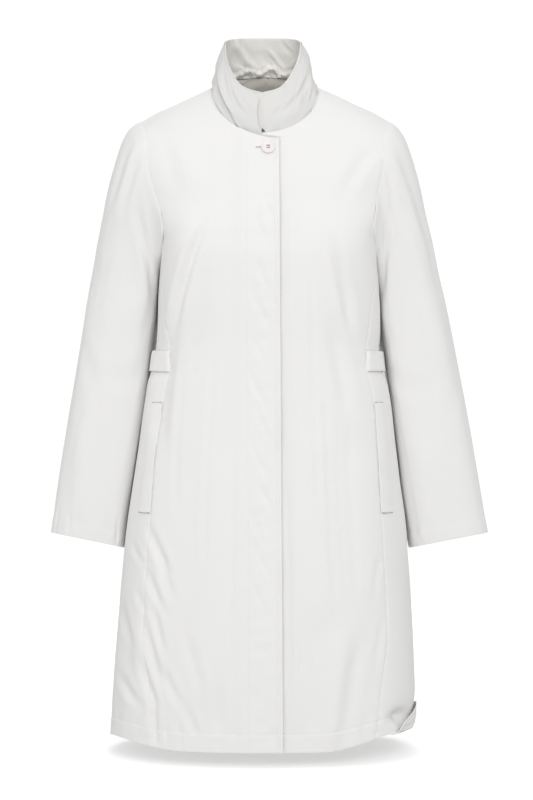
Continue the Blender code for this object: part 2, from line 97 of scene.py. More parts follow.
# How far the sides stand out beyond the sections, drawn in under the belt.
# height, wearer's right, wearer's left
SIDE_OUT = measured((MM, MM, MM), (
    (-972, 3, -2.6),
    (-919.5, 3, -1.6),
    (-889.5, 2.2, -1.7),
    (-859.5, 1.8, -1.6),
    (-829.5, 1.3, -1),
    (-769.5, 1.2, -0.4),
    (-710, 0.3, 0),
    (-646, 0.6, 3),
    (-606, 0.5, 3.2),
    (-558, 1, 5.6),
    (-512, 1.2, 7),
    (-470, 1, 8.6),
    (-442, 2.8, 9.5),
    (-428, 1, 7.6),
    (-398, 5, 12.2),
    (-365, 3.4, 14.8),
    (-335, 4, 14.2),
    (-310, 3.6, 12.8),
    (-282, 3.8, 13),
    (-248, 2.5, 12.5),
    (-206, 0, 10),
    (-165, 0, 0),
))

# Side seam, which sits forward of the side.
# height, share of the half width
SIDE_SEAM = measured((MM, 1.0), (
    (-972, 0.702), (-877, 0.76), (-804, 0.809), (-700, 0.814), (-630, 0.818), (-550, 0.838),
    (-472, 0.849), (-430, 0.842), (-400, 0.87), (-345, 0.911), (-300, 0.952), (-270, 0.98),
    (-236, 1),
))

# Armhole from the shoulder point to the underarm.
# distance across, height
ARMHOLE = measured((MM, MM), (
    (187, -56), (179, -82.5), (173, -117), (167, -147), (160, -177), (151.5, -206), (150, -224),
    (153, -236),
))

# Front neck edges from the end of the lap to the shoulder seam; side -1 is the wearer's right.
# distance across, height
NECK_FRONT = {
    -1: measured((MM, MM), (
        (-19.5, -91.4), (-6, -90), (6, -87), (13.8, -84), (25.5, -79.8), (41.5, -72), (57, -59),
        (72, -42.5), (79, -24), (79.5, 0),
    )),
    1: measured((MM, MM), (
        (-19.5, -80), (0, -79.6), (11, -78.6), (30, -73.7), (55, -59), (70, -42.5), (77.5, -24),
        (79.5, 0),
    )),
}

# Back neck edge from the middle to the shoulder seam.
# distance across, height
NECK_BACK = measured((MM, MM), (
    (0, 20), (30, 18.5), (60, 13), (76, 6), (79.5, 0),
))

# Sleeve rings, armhole to cuff. The outside of the cloth.
# along, outer across, outer height, inner across, inner height, front depth, back depth, middle y
SLEEVE = measured(8 * (MM,), (
    (0, 187, -56, 155, -236, 82, 92, 0),
    (8, 197, -59, 155.5, -241, 82, 91, 1),
    (25, 211, -76.5, 156, -248, 80, 89, 4),
    (50, 223, -110, 156.5, -258, 77, 85, 8),
    (80, 234, -150, 157, -270, 73, 80, 13),
    (115, 241.5, -190, 158, -290, 69, 74, 18),
    (155, 250, -230, 160, -318, 65, 69, 22),
    (200, 258, -275, 163.5, -353, 63, 65, 26),
    (245, 266.5, -320, 170, -392, 61, 62, 28),
    (330, 283, -410, 181.5, -470, 59, 60, 31),
    (440, 303.5, -530, 196.5, -570, 58, 59, 32),
    (495, 313, -590, 204.5, -620, 57, 58, 32),
    (570, 323.5, -669.5, 215.5, -692, 56, 57, 32),
))
SLEEVE_SQUARENESS = 2.2
# Squarer on the inner side, away from the armhole.
SLEEVE_SQUARENESS_INNER = 4.2
SLEEVE_SQUARE_START = 0.08
SLEEVE_SQUARE_FULL = 0.20
SLEEVE_CAP_BLEND = 0.16
SLEEVE_SET_OUT = 0.03
SLEEVE_TUCK = 0.0050
# The back of a sleeve leans on the body above the belt, angle in degrees.
SLEEVE_LEAN = 0.0085
SLEEVE_LEAN_TURN = 199.0
SLEEVE_LEAN_HALF = 15.0
SLEEVE_LEAN_ALONG = 0.234
SLEEVE_LEAN_LENGTH = 0.036
# How far the inner side of a sleeve hangs away from the body; side -1 is the wearer's right.
# along, out
SLEEVE_INNER = {
    -1: measured((MM, MM), (
        (0, 0), (115, 1), (200, 2.2), (245, 1.2), (330, -1.4), (440, -1.2), (495, -1.2),
        (570, -2.5),
    )),
    1: measured((MM, MM), (
        (0, 0), (30, 0), (60, 1.7), (115, 8), (155, 10.2), (200, 9), (245, 8.4), (330, 6.2),
        (440, 3.4), (495, 1.2), (570, 2.2),
    )),
}
# How far the outer side of a sleeve hangs away from its rings; side -1 is the wearer's right.
# along, out
SLEEVE_OUTER = {
    -1: measured((MM, MM), (
        (0, 0), (8, -2.2), (17, 0), (38, 1.9), (50, 2.3), (72, 2.6), (97, 3.4), (155, 2.4),
        (245, 2.4), (330, 1.1), (440, 0.3), (570, 0.8),
    )),
    1: measured((MM, MM), (
        (0, 0), (8, -4.8), (17, -3.6), (25, -2.6), (50, -1.3), (97, -0.8), (155, 0.9), (200, 2.6),
        (245, 4.9), (330, 6.7), (440, 8.9), (495, 9.8), (570, 13),
    )),
}
# The front of a cuff is drawn up.
CUFF_UP = 0.0036
CUFF_UP_REACH = 0.14

# Collar, angle from the middle of the front round to the back, either way.
# angle, foot across, foot y, foot height, rim across, rim y, rim height
COLLAR = measured((1.0, MM, MM, MM, MM, MM, MM), (
    (0, 0, -85, -78.5, 0, -77, -20),
    (22, 31, -80, -71.5, 25, -71, -12),
    (45, 57.5, -69, -55, 44, -54, 13),
    (68, 78, -44, -17.8, 56, -27, 45),
    (90, 79.5, -6, 4.2, 58.5, 2, 65.5),
    (115, 73, 29, 11.6, 53.5, 27, 75),
    (145, 45, 55.5, 18, 33, 44, 80.5),
    (180, 0, 64.6, 21.2, 0, 51, 82),
))
COLLAR_LEAN = -0.0045
COLLAR_BULGE = 0.0035
COLLAR_UNDER_END = -16.0
COLLAR_OVER_END = 352.0
COLLAR_LAP_RISE_START = 285.0
COLLAR_LAP_RISE_END = 335.0
COLLAR_LAP_RISE = 0.0042
COLLAR_TUCK = 0.0035
COLLAR_TUCK_START = 0.05
COLLAR_FOOT_UP = -0.13
COLLAR_FOOT_BACK = -0.055
FACING_FOOT_BACK = 0.045
COLLAR_BACK_HALF = 60.0
# A small gap is left at the foot between the two ends, angles in degrees.
COLLAR_NOTCH = -2.5
COLLAR_NOTCH_HALF = 3.0
COLLAR_NOTCH_UP = 0.20
# The edge of the end that lies over: share of the height, angle in degrees.
COLLAR_EDGE = np.array((
    (-0.13, 357), (0.02, 355.8), (0.175, 353.2), (0.5, 353), (0.74, 355.2), (0.905, 350.6),
    (1, 345),
))
COLLAR_EDGE_START = 322.0
# The collar is drawn in at both sides.
# share of the height, in at the wearer's left, in at the wearer's right
COLLAR_WAIST = measured((1.0, MM, MM), (
    (-0.13, 1, 0),
    (-0.05, 2.5, 0),
    (0, 5.2, 0),
    (0.15, 7.4, 1.6),
    (0.3, 5.8, 3.2),
    (0.5, 3.4, 1.8),
    (0.75, 0, 1.8),
    (1, 0, 1.6),
))
COLLAR_WAIST_HALF = 34.0
# The shoulder is drawn in with it beside the neck at the wearer's left.
NECK_IN = 0.0035
NECK_IN_START = -0.014
NECK_IN_HALF = 40.0

# Fly front
LAP_TOP = 0.0195
LAP_HEM = 0.0249
LAP_TOP_Z = -0.088
LAP_STAND_OFF = 0.0032
LAP_RISE_START = 0.030
LAP_RISE_END = 0.052
LAP_GAPE = 0.0028
LAP_GAPE_WIDTH = 0.008
LAP_TOP_GAPE = 0.0016
LAP_TOP_GAPE_HEIGHT = 0.005
LAP_TOP_GAPE_START = 0.004
LAP_TOP_GAPE_END = 0.016
# Trough in the left front above the top edge of the lap.
LAP_TOP_TROUGH = measured(FOLD, (
    (-8, -86.2, 20, -89.2, 0, 1.7, -5),
))
FLY_STITCH = 0.0285
FLY_TOP_Z = -0.105
FLY_TOP_SOFT = 0.004
FLY_DIP_WIDTH = 0.0020
FLY_MIDDLE = 0.004
FLY_HALF = 0.016
FLY_UNEVEN = 0.00052
FLY_UNEVEN_PACE = 0.55
EDGE_STITCHES = (0.0035, 0.0075)
EDGE_DIP_WIDTH = 0.0012
STITCH_DIP = 0.0003

# Hem and cuff turnings
HEM_TURN = 0.0255
CUFF_TURN = 0.022
TURN_STEP = 0.0006
TURN_SOFT_IN = 0.0006
TURN_SOFT_OUT = 0.0014
TURN_DIP = 0.0005
TURN_DIP_WIDTH = 0.0014
TURN_PUCKER = 0.0008
TURN_PUCKER_PACE = 0.62
TURN_PUCKER_REACH = 0.011

# Half belt, welts, lining and button
BELT_BOTTOM_Z = -0.428
BELT_TOP_Z = -0.398
BELT_WALL = 0.0014
BELT_STAND_LOW = 0.0020
BELT_STAND_HIGH = 0.0030
BELT_END = 0.0040
BELT_EDGE_DROP = 0.0005
BELT_STITCH = 0.003
WELT_BOTTOM_Z = -0.634
WELT_TOP_Z = -0.4735
WELT_WIDTH_TOP = 0.021
WELT_WIDTH_BOTTOM = 0.027
WELT_WALL = 0.0014
WELT_SUNK = 0.0010
WELT_PUFF = 0.0008
WELT_STITCH = 0.002
LAID_GAP = 0.0006
LAID_UNEVEN = 0.0004
LINING_SHARE = 5.0 / 12.0
LINING_LOW = 0.895
LINING_TOP_IN = 0.0034
LINING_TOP_UP = 0.0100
LINING_IN = 0.0012
LINING_CRUMPLE = 0.0009
LINING_WAVE = 0.0010
LINING_FOOT_SOFT = 0.004
LINING_TOP_SOFT = 0.003
LINING_LUMPS = 0.8
LINING_UP_SHARE = 0.30
LINING_FLAT_SHARE = 0.62
BUTTON_X = 0.0040
BUTTON_Z = -0.1038
BUTTON_RADIUS = 0.01035

# The hem is drawn up towards the sides, angles in degrees.
HEM_LIFT_FADE = 0.120
LEFT_LIFT = 0.0215
LEFT_LIFT_START = 28.0
LEFT_LIFT_FULL = 66.0
RIGHT_LIFT = 0.009
RIGHT_LIFT_START = 40.0
RIGHT_LIFT_FULL = 69.0
RIGHT_LIFT_FALL = 74.0
RIGHT_LIFT_END = 92.0

# The corner of the hem turned up at the wearer's left side, angles in degrees.
# angle, length of cloth turned up
FLAP = measured((1.0, MM), (
    (58, 0), (60.5, 3), (62.5, 7.8), (65.4, 17.2), (71.2, 26), (79.3, 33), (88, 35.5), (97, 31),
    (110, 14), (122, 2), (126, 0),
))
FLAP_FALL = 94.0
FLAP_BEND = 0.0022
FLAP_OPEN = 0.04
FLAP_DENT = 0.014
FLAP_DENT_ANGLE = 65.0
FLAP_DENT_HALF = 5.0
FLAP_DENT_UP = 0.042
FLAP_DENT_Z = HEM_Z + FLAP_DENT_UP
FLAP_DENT_HEIGHT = 0.009
FLAP_INSET = 0.0065
FLAP_INSET_START = 0.03
FLAP_INSET_END = 0.08
FLAP_CREASE = 0.0016
FLAP_CREASE_UP = 0.005
FLAP_CREASE_WIDTH = 0.0013

# Folds: ridges above zero, troughs below. Each has softer shoulders on both sides.
# start across, start height, end across, end height, bow, width, rise
FRONT_FOLDS = measured(FOLD, (
    (-94.5, -227, -130.6, -361, 3, 6.5, -6.4),
    (-106, -215, -143, -400, 3, 18, 4),
    (-131.6, -360, -153.5, -528, 3, 12, -5),
    (154.7, -106, 115.5, -165, 2, 10, -2),
    (100.7, -245, 122.4, -361, -2, 7.5, -4.8),
    (96.3, -364, 118, -481, 0, 10, -3.6),
    (130.9, -827, 112.3, -965, 2, 10, -3),
    (108, -800, 94, -965, 0, 20, 3.4),
    (49.2, -790, 56.4, -860, 0, 6, -1.4),
    (-68.9, -870, -64.6, -965, 0, 8, -1.8),
    (-115, -805, -90.7, -884, 0, 8, -1.8),
    (-148, -90, -127, -160, 2, 10, -1),
    (-130, -80, -100, -160, 2, 14, 1),
    (-56, -560, -78, -900, 0, 30, 2.8),
    (66, -520, 82, -780, 0, 28, 2.8),
    (140, -560, 148, -760, 0, 24, 2.4),
    (-118, -400, -130, -620, 2, 5, -1.1),
    (-75, -420, -88, -700, 2, 5, -1),
    (-44, -560, -50, -800, 1, 4.5, -0.9),
    (45, -200, 52, -500, 2, 4.5, -0.9),
    (66, -300, 76, -620, 2, 5, -1.1),
    (86, -460, 100, -760, 2, 5, -1.1),
    (32, -600, 37, -900, 1, 4.5, -0.9),
    (120, -520, 131, -740, 2, 5, -1),
))
# Drag lines in front of the seam at the wearer's right, and a few at the left.
DRAG_LINES = measured(FOLD, (
    (-165.1, -662, -141.8, -713, 1, 6, -4),
    (-150, -702, -135.5, -748, 1, 6, -2.4),
    (-167.7, -724, -150.3, -767, 1, 5.5, -3.6),
    (-160.2, -774, -148.6, -825, 1, 5.5, -3.6),
    (-170.3, -803, -152.9, -876, 1, 6.5, -4.4),
    (-174.7, -857, -160.2, -905, 1, 6, -4.4),
    (-161.1, -900, -155.3, -966, 1, 5.5, -3.6),
    (-148.3, -855, -125.6, -900, 1, 6.5, -2.6),
    (-114.7, -908, -95.9, -946, 1, 6, -1.8),
    (-209.4, -778, -197.7, -822, 1, 6, -3.4),
    (-210.9, -875, -187.4, -911, 1, 7, -3.6),
    (-205, -790, -200, -866, 1, 11, -3.4),
    (-191.8, -683, -180, -705, 1, 4.5, -2.2),
    (-184.5, -749, -177.1, -771, 1, 4.5, -2.2),
    (-159.4, -932, -158, -967, 0, 3.2, -1.4),
    (-149.5, -934, -148.6, -967, 0, 3.2, -1.4),
    (-142.8, -936, -142, -967, 0, 3, -1.2),
    (-121.8, -934, -121.2, -967, 0, 3.4, -1.2),
    (164, -700, 156, -752, 1, 5, -1.2),
    (169, -790, 159, -850, 1, 5, -1.2),
))
# Puckers of the fly.
FLY_PUCKERS = measured(FOLD, (
    (-5, -170, 9.4, -206, 1, 4.5, -1.064),
    (-13.6, -202, -2.1, -235, 1, 4.5, -1.064),
    (-10.7, -271, 3.7, -311, 1, 4.5, -1.197),
    (-19.4, -311, 0.8, -357, 1, 5, -1.197),
    (-15.1, -383, -0.7, -420, 1, 4.5, -0.931),
    (-22.3, -429, -5, -470, 1, 5, -1.064),
    (-13.6, -481, 3.7, -521, 1, 4.5, -0.931),
    (-22.2, -527, -3.5, -570, 1, 5, -1.064),
    (-12.1, -581, 5.1, -620, 1, 4.5, -0.931),
    (-20.7, -630, -5, -670, 1, 4.5, -1.064),
    (-13.5, -681, 5.1, -720, 1, 4.5, -0.798),
    (-19.2, -727, -4.9, -764, 1, 4.5, -0.798),
    (13, -118, 2, -131, 2, 3, -0.931),
    (16, -122, 10, -142, 2, 3, -0.798),
))
BACK_FOLDS = measured(FOLD, (
    (-90, -440, -130, -930, 0, 30, 4),
    (85, -440, 135, -930, 0, 30, 4),
    (-45, -470, -60, -930, 0, 24, -3.4),
    (48, -470, 58, -930, 0, 24, -3.4),
    (-110, -210, -60, -370, 6, 14, -2.6),
    (105, -215, 65, -370, -6, 14, -2.6),
    (-145, -130, -118, -230, 3, 10, -1.6),
    (145, -125, 120, -225, 3, 10, -1.6),
    (-120, -385, -50, -360, 2, 10, -1.6),
    (115, -380, 45, -362, 2, 10, -1.6),
    (-170, -640, -160, -720, 1, 7, -1),
    (165, -700, 150, -790, 1, 7, -1),
))
# Folds of a sleeve: turn from the outer side by the front, in degrees, and distance along.
# start turn, start along, end turn, end along, bow, width, rise
SLEEVE_FOLDS = {
    -1: measured(SLEEVE_FOLD, (
        (20, 20, 35, 85, 2, 8, -2.4),
        (50, 12, 62, 75, 2, 8, -2.4),
        (95, 60, 135, 150, 4, 11, -3.9),
        (120, 80, 100, 230, 4, 16, 3.3),
        (30, 300, 75, 360, 3, 12, -1.2),
        (140, 270, 90, 330, 3, 12, -1.4),
        (60, 420, 85, 540, 0, 16, 2.1),
        (235, 120, 270, 260, 4, 14, -3.6),
        (215, 260, 275, 320, 3, 12, -3.3),
        (300, 330, 250, 400, 3, 14, -2.7),
        (40, 190, 48, 270, 2, 18, -1.4),
        (36, 540, 34, 566, 0, 3.4, -1.4),
        (62, 540, 64, 566, 0, 3.4, -1.6),
        (128, 536, 132, 566, 0, 4, -1.6),
    )),
    1: measured(SLEEVE_FOLD, (
        (30, 20, 30, 200, 4, 10, -2.4),
        (70, 15, 88, 70, 2, 8, -1.8),
        (110, 60, 140, 150, 4, 11, -3.6),
        (70, 100, 60, 330, 4, 20, 3),
        (145, 280, 95, 340, 3, 12, -1.2),
        (35, 360, 70, 410, 3, 12, -1.1),
        (95, 420, 110, 540, 0, 16, 2.1),
        (230, 110, 275, 250, 4, 14, -3.6),
        (215, 270, 270, 330, 3, 12, -3.3),
        (300, 320, 250, 400, 3, 14, -2.7),
    )),
}
# Folds of the collar: angle in degrees and share of the height.
# start angle, start share, end angle, end share, bow, width, rise
COLLAR_FOLDS = measured(COLLAR_FOLD, (
    (274, 0.57, 296, 0.47, 0, 3.4, -2.6),
    (293, 0.485, 309, 0.34, 0, 3, -3.6),
    (307, 0.36, 322, 0.19, 0, 2.8, -3.8),
    (320, 0.215, 331, -0.1, 0, 2.6, -3.6),
    (300, 0.6, 334, 0.2, 3, 8, 2.8),
    (66, 0.52, 22, 0.45, 2, 5, -1.8),
    (70, 0.26, 58, 0.16, 0, 4, -1.8),
    (40, 0.22, 12, 0.2, 2, 7, 1.6),
    (56, 0.37, 53.5, 0.31, 0, 1.6, -1.6),
    (62, 0.62, 48, 0.3, 2, 6, -1.6),
    (52, 0.62, 30, 0.3, 1, 3, -0.8),
    (44, 0.75, 34, 0.48, 1, 2.8, -0.7),
    (20, 0.58, 8, 0.26, 1, 3, -0.8),
    (318, 0.78, 338, 0.38, 1, 3, -0.8),
    (302, 0.82, 320, 0.45, 1, 3, -0.8),
    (334, 0.8, 346, 0.48, 1, 2.8, -0.7),
    (150, 0.3, 120, 0.45, 2, 7, -1.4),
    (205, 0.28, 240, 0.4, 2, 7, -1.4),
    (170, 0.55, 190, 0.5, 2, 9, 1.4),
))
FACING_FOLDS = measured(COLLAR_FOLD, (
    (199, 0, 207, 0.24, 0, 2.2, -3.2),
    (192, 0, 200, 0.28, 0, 2.2, -3.4),
    (185, 0, 190, 0.16, 0, 2, -2.6),
    (195, -0.16, 208, 0.26, 0, 1.9, 4.4),
    (188, -0.16, 200, 0.24, 0, 1.8, 4.2),
    (182, -0.14, 191, 0.22, 0, 1.8, 3.6),
    (170, -0.14, 178, 0.2, 1, 2, 3.6),
    (158, -0.14, 166, 0.26, 1, 2.4, 4.2),
    (226, 0.04, 203, 0.16, 1, 4, 4.8),
    (211, 0.24, 186, 0.08, 1, 4, 5),
    (190, 0.06, 171, 0.24, 1, 3.6, 4.6),
    (176, 0.29, 155, 0.08, 1, 3.8, 5),
    (161, 0.06, 136, 0.18, 1, 4, 4.4),
    (220, 0.8, 194, 0.24, 0, 5.6, 5),
    (170, 0.66, 158, 0.26, 1, 4, 3),
    (178, 0, 184, 0.34, 0, 3.4, 2.2),
    (172, 0.02, 177, 0.12, 0, 2.4, -2.6),
    (168, 0.14, 176, 0.46, 0, 3.2, -2.6),
    (158, 0, 162, 0.34, 0, 3.2, -1.8),
    (206, 0.02, 218, 0.22, 0, 3, 2),
    (214, 0.04, 232, 0.4, 0, 4.6, -2.2),
    (146, 0.06, 130, 0.44, 0, 4.6, -2.2),
    (150, 0.45, 180, 0.52, 3, 8, -1.4),
    (224, 0.15, 214, 0.72, 2, 9, -2),
    (190, 0.55, 225, 0.62, 3, 8, -1.4),
    (205, 0.7, 216, 0.92, 1, 5, -1.4),
    (140, 0.66, 150, 0.9, 1, 5, -1.4),
))
FOLD_FADE = 0.030
FOLD_FADE_SHARE = 0.40
FOLD_SIDE_FADE = 0.30
FOLD_SHOULDER = 0.35
FOLD_SHOULDER_AT = 1.7
FOLD_SHOULDER_WIDTH = 0.8


def smooth(value, start, end):
    """0 before start, 1 after end, smooth between."""
    share = np.clip((value - start) / (end - start), 0.0, 1.0)
    return share * share * (3.0 - 2.0 * share)


def lerp(start, end, share):
    return start + (end - start) * share


def bell(value, width):
    return np.exp(-(value / width) ** 2)


def table_value(table, key, column=1):
    """Smooth values of one column; the keys are column 0 and rise."""
    keys = table[:, 0]
    values = table[:, column]
    steps = np.diff(values) / np.diff(keys)
    before = steps[:-1]
    after = steps[1:]
    same_way = before * after > 0.0
    total = np.where(same_way, before + after, 1.0)
    inner = np.where(same_way, 2.0 * before * after / total, 0.0)
    slopes = np.concatenate((steps[:1], inner, steps[-1:]))
    key = np.clip(key, keys[0], keys[-1])
    row = np.clip(np.searchsorted(keys, key, side="right") - 1, 0, len(keys) - 2)
    width = keys[row + 1] - keys[row]
    share = (key - keys[row]) / width
    square = share * share
    cube = square * share
    return (values[row] * (2 * cube - 3 * square + 1)
            + slopes[row] * width * (cube - 2 * square + share)
            + values[row + 1] * (3 * square - 2 * cube)
            + slopes[row + 1] * width * (cube - square))


def table_row(table, key):
    """Smooth values of all columns but the keys."""
    return [table_value(table, key, column) for column in range(1, table.shape[1])]


def run_lengths(points):
    """Lengths along the first axis of points, from 0."""
    steps = np.linalg.norm(np.diff(points, axis=0), axis=-1)
    return np.concatenate((np.zeros_like(steps[:1]), np.cumsum(steps, axis=0)))


def flat_cut(points):
    """Lengths along the rows and the columns of a grid, in metres."""
    return run_lengths(points.transpose(1, 0, 2)).T, run_lengths(points)


def curve_value(table, share):
    """Points at shares of the length of an (across, height) table."""
    lengths = run_lengths(table)
    return table_row(np.column_stack((lengths / lengths[-1], table)), share)


def unit(vectors):
    return vectors / np.maximum(np.linalg.norm(vectors, axis=-1, keepdims=True), 1e-12)


def section(z):
    """Half width, front depth, back depth and squareness of the inside of the cloth."""
    half, front, back, square = table_row(SECTIONS, z)
    return half - WALL, front - WALL, back - WALL, square


def skin(angle, z):
    """Inside of the plain body; the angle runs from the middle front towards +X."""
    half, front, back, square = section(z)
    across = np.sin(angle)
    along = np.cos(angle)
    depth = np.where(along > 0.0, front, back)
    reach = (np.abs(across) / half) ** square + (np.abs(along) / depth) ** square
    radius = reach ** (-1.0 / square)
    right, left = table_row(SIDE_OUT, z)
    out = np.where(across > 0.0, left, right)
    x = radius * across + out * across * np.abs(across) ** 2
    return np.stack((x, -radius * along, z + 0.0 * angle), axis=-1)


def skin_normal(angle, z):
    turn = 0.01
    rise = 0.002
    across = skin(angle + turn, z) - skin(angle - turn, z)
    up = skin(angle, z + rise) - skin(angle, z - rise)
    return unit(np.cross(across, up))


def panel_angle(x, z, back=False):
    """Angle from the middle of a front, or of the back, at a distance across."""
    half, *depths, square = section(z)
    share = np.minimum(1.0, np.abs(x) / half)
    reach = depths[back] * (1.0 - share ** square) ** (1.0 / square)
    return np.copysign(np.arctan2(np.abs(x), reach), x)


def panel_across(angle, z, back=False):
    """Distance across at an angle from the middle of a front, or of the back."""
    half, *depths, square = section(z)
    across = np.sin(angle)
    reach = (np.abs(across) / half) ** square + (np.abs(np.cos(angle)) / depths[back]) ** square
    return across * reach ** (-1.0 / square)


SEAM_TURN_START = -0.325


def seam_angle(z):
    """Angle of the seam in front of the side, turning to the very side at the underarm."""
    angle = panel_angle(table_value(SIDE_SEAM, z) * section(z)[0], z)
    return lerp(angle, math.pi / 2, smooth(z, SEAM_TURN_START, UNDERARM_Z))


def fold_rise(u, v, table):
    """Sum of the folds of a table, by the distance from each bowed fold line."""
    total = 0.0 * u
    for u0, v0, u1, v1, bow, width, rise in table:
        length = math.hypot(u1 - u0, v1 - v0)
        along_u = (u1 - u0) / length
        along_v = (v1 - v0) / length
        along = (u - u0) * along_u + (v - v0) * along_v
        share = np.clip(along / length, 0.0, 1.0)
        aside = (u - u0) * along_v - (v - v0) * along_u - 4.0 * bow * share * (1.0 - share)
        fade = min(FOLD_FADE, FOLD_FADE_SHARE * length)
        ends = smooth(along, -fade, fade) * (1.0 - smooth(along, length - fade, length + fade))
        away = aside / width
        shoulders = FOLD_SHOULDER * bell(np.abs(away) - FOLD_SHOULDER_AT, FOLD_SHOULDER_WIDTH)
        total += rise * ends * (bell(away, 1.0) - shoulders)
    return total


def drift(u, v):
    """Slow unevenness of hanging cloth, about -1 to 1; u is across and v along, in metres."""
    return (0.45 * np.sin(17.0 * u + 3.0 * v + 0.7) * np.sin(7.0 * v - 5.0 * u + 2.1)
            + 0.35 * np.sin(41.0 * u + 6.0 * v + 1.9) * np.sin(13.0 * v - 9.0 * u + 0.4)
            + 0.20 * np.sin(83.0 * u - 11.0 * v + 4.2) * np.sin(29.0 * v + 15.0 * u + 1.1))


def crumple(u, v):
    """Finer unevenness beside a seam, about -1 to 1; u is along the seam, in metres."""
    return (0.5 * np.sin(390.0 * u + 2.0 * np.sin(70.0 * u) + 60.0 * v)
            + 0.5 * np.sin(230.0 * u + 2.5 * np.sin(41.0 * u + 1.0) - 90.0 * v + 0.8))


def lap(z):
    """How far a front runs past the middle."""
    return lerp(LAP_HEM, LAP_TOP, (z - HEM_Z) / (LAP_TOP_Z - HEM_Z))


# Columns of a panel stay upright above the underarm and turn towards the shoulder seam higher up.
UPRIGHT_SHARE = 0.25
TURNED_SHARE = 0.75


def patch(bottom, top, left, right, u, v):
    """Grid filled in between four edges."""
    corners = lerp(lerp(bottom[..., :1], bottom[..., -1:], u), lerp(top[..., :1], top[..., -1:], u), v)
    return lerp(bottom, top, v) + lerp(left, right, u) - corners


def panel_spots(shares, corner, inner_angle, outer_angle, neck, back, low_rows, high_rows):
    """(angle, z) of half a panel, hem to neck, from its middle edge to its side edge."""
    u = shares[None, :]
    z = low_rows[:, None]
    start = inner_angle(z)
    low_angle = start + (outer_angle(z) - start) * u
    low_z = z + 0.0 * u
    shoulder = math.pi / 2
    shoulder_z = ARMHOLE[0, 1]
    v = high_rows[1:, None]
    level_start = inner_angle(np.array(UNDERARM_Z))
    level_end = outer_angle(np.array(UNDERARM_Z))
    bottom = np.stack((lerp(level_start, level_end, u), UNDERARM_Z + 0.0 * u))
    neck_x, neck_z = curve_value(neck, np.clip(u / corner, 0.0, 1.0))
    seam_z = lerp(neck[-1, 1], shoulder_z, np.clip((u - corner) / (1.0 - corner), 0.0, 1.0))
    on_neck = u <= corner
    top = np.stack((np.where(on_neck, panel_angle(neck_x, neck_z, back), shoulder),
                    np.where(on_neck, neck_z, seam_z)))
    left_z = lerp(UNDERARM_Z, neck[0, 1], v)
    left = np.stack((inner_angle(left_z), left_z))
    hole_x, hole_z = curve_value(ARMHOLE, 1.0 - v)
    right = np.stack((panel_angle(hole_x, hole_z, back), hole_z))
    edges = (bottom, top, left, right)
    high_angle, high_z = patch(*edges, u, v)
    level = patch(*(panel_across(*edge, back) for edge in edges), u, v)
    upright = panel_angle(level, high_z, back)
    high_angle = lerp(upright, high_angle, smooth(v, UPRIGHT_SHARE, TURNED_SHARE))
    return np.concatenate((low_angle, high_angle)), np.concatenate((low_z, high_z))


def grid_normals(points, closed=False):
    """Outward directions of a grid whose faces turn from columns to rows."""
    if closed:
        across = np.roll(points, -1, axis=1) - np.roll(points, 1, axis=1)
    else:
        across = np.gradient(points, axis=1)
    return unit(np.cross(across, np.gradient(points, axis=0)))


# Rows and columns of the cloth
HEM_BAND = 0.036
FLAP_BAND = 0.060
FLY_SHARE = 0.30
ROW_BIAS = 1.3


def banded(start, band, end, close, wide):
    """Values that stand closer up to a band's end than after it."""
    return np.concatenate((np.linspace(start, band, close, endpoint=False), np.linspace(band, end, wide)))


def eased(count):
    """Shares from 0 to 1 that come closer towards 1."""
    return 1.0 - (1.0 - np.linspace(0.0, 1.0, count)) ** ROW_BIAS


LOW_ROWS = banded(HEM_Z, HEM_Z + HEM_BAND, UNDERARM_Z, 30, 262)
HIGH_ROWS = eased(82)
BACK_LOW_ROWS = banded(HEM_Z, HEM_Z + FLAP_BAND, UNDERARM_Z, 50, 180)
BACK_HIGH_ROWS = eased(62)
FRONT_SHARES = banded(0.0, FLY_SHARE, 1.0, 46, 53)
FRONT_CORNER = FRONT_SHARES[60]
BACK_SHARES = np.linspace(0.0, 1.0, 101)
BACK_CORNER = BACK_SHARES[47]
SLEEVE_TURNS = np.linspace(0.0, 2.0 * math.pi, 118, endpoint=False)
SLEEVE_ALONG = SLEEVE[-1, 0] * np.linspace(0.0, 1.0, 206) ** 1.05
COLLAR_DEGREES = np.linspace(COLLAR_UNDER_END, COLLAR_OVER_END, 296)
COLLAR_SHARES = np.linspace(0.0, 1.0, 48)
LINING_COLUMNS = 60
LINING_ROWS = 24
BELT_ROWS = 15
BELT_COLUMNS = 240
WELT_ROWS = 80
WELT_COLUMNS = 16

# Seams sink in, and the cloth beside them is a little uneven.
SEAM_DIP = 0.0007
SEAM_WIDTH = 0.0022
SEAM_UNEVEN = 0.0004
SEAM_REACH = 0.009
MIDDLE_SEAM_SHARE = 0.7
DRIFT = 0.0011


def seam_dip(distance, along):
    """Rise beside a seam at a distance from it."""
    uneven = SEAM_UNEVEN * crumple(along, distance) * bell(distance, SEAM_REACH)
    return uneven - SEAM_DIP * bell(distance, SEAM_WIDTH)


def turning(distance, depth, across):
    """Rise of a turned edge: a thicker band, the dip of its stitching, and puckers across it."""
    band = TURN_STEP * (1.0 - smooth(distance, depth - TURN_SOFT_IN, depth + TURN_SOFT_OUT))
    dip = TURN_DIP * bell(distance - depth, TURN_DIP_WIDTH)
    pucker = TURN_PUCKER * crumple(TURN_PUCKER_PACE * across, 0.0) * bell(distance - depth, TURN_PUCKER_REACH)
    return band - dip + pucker


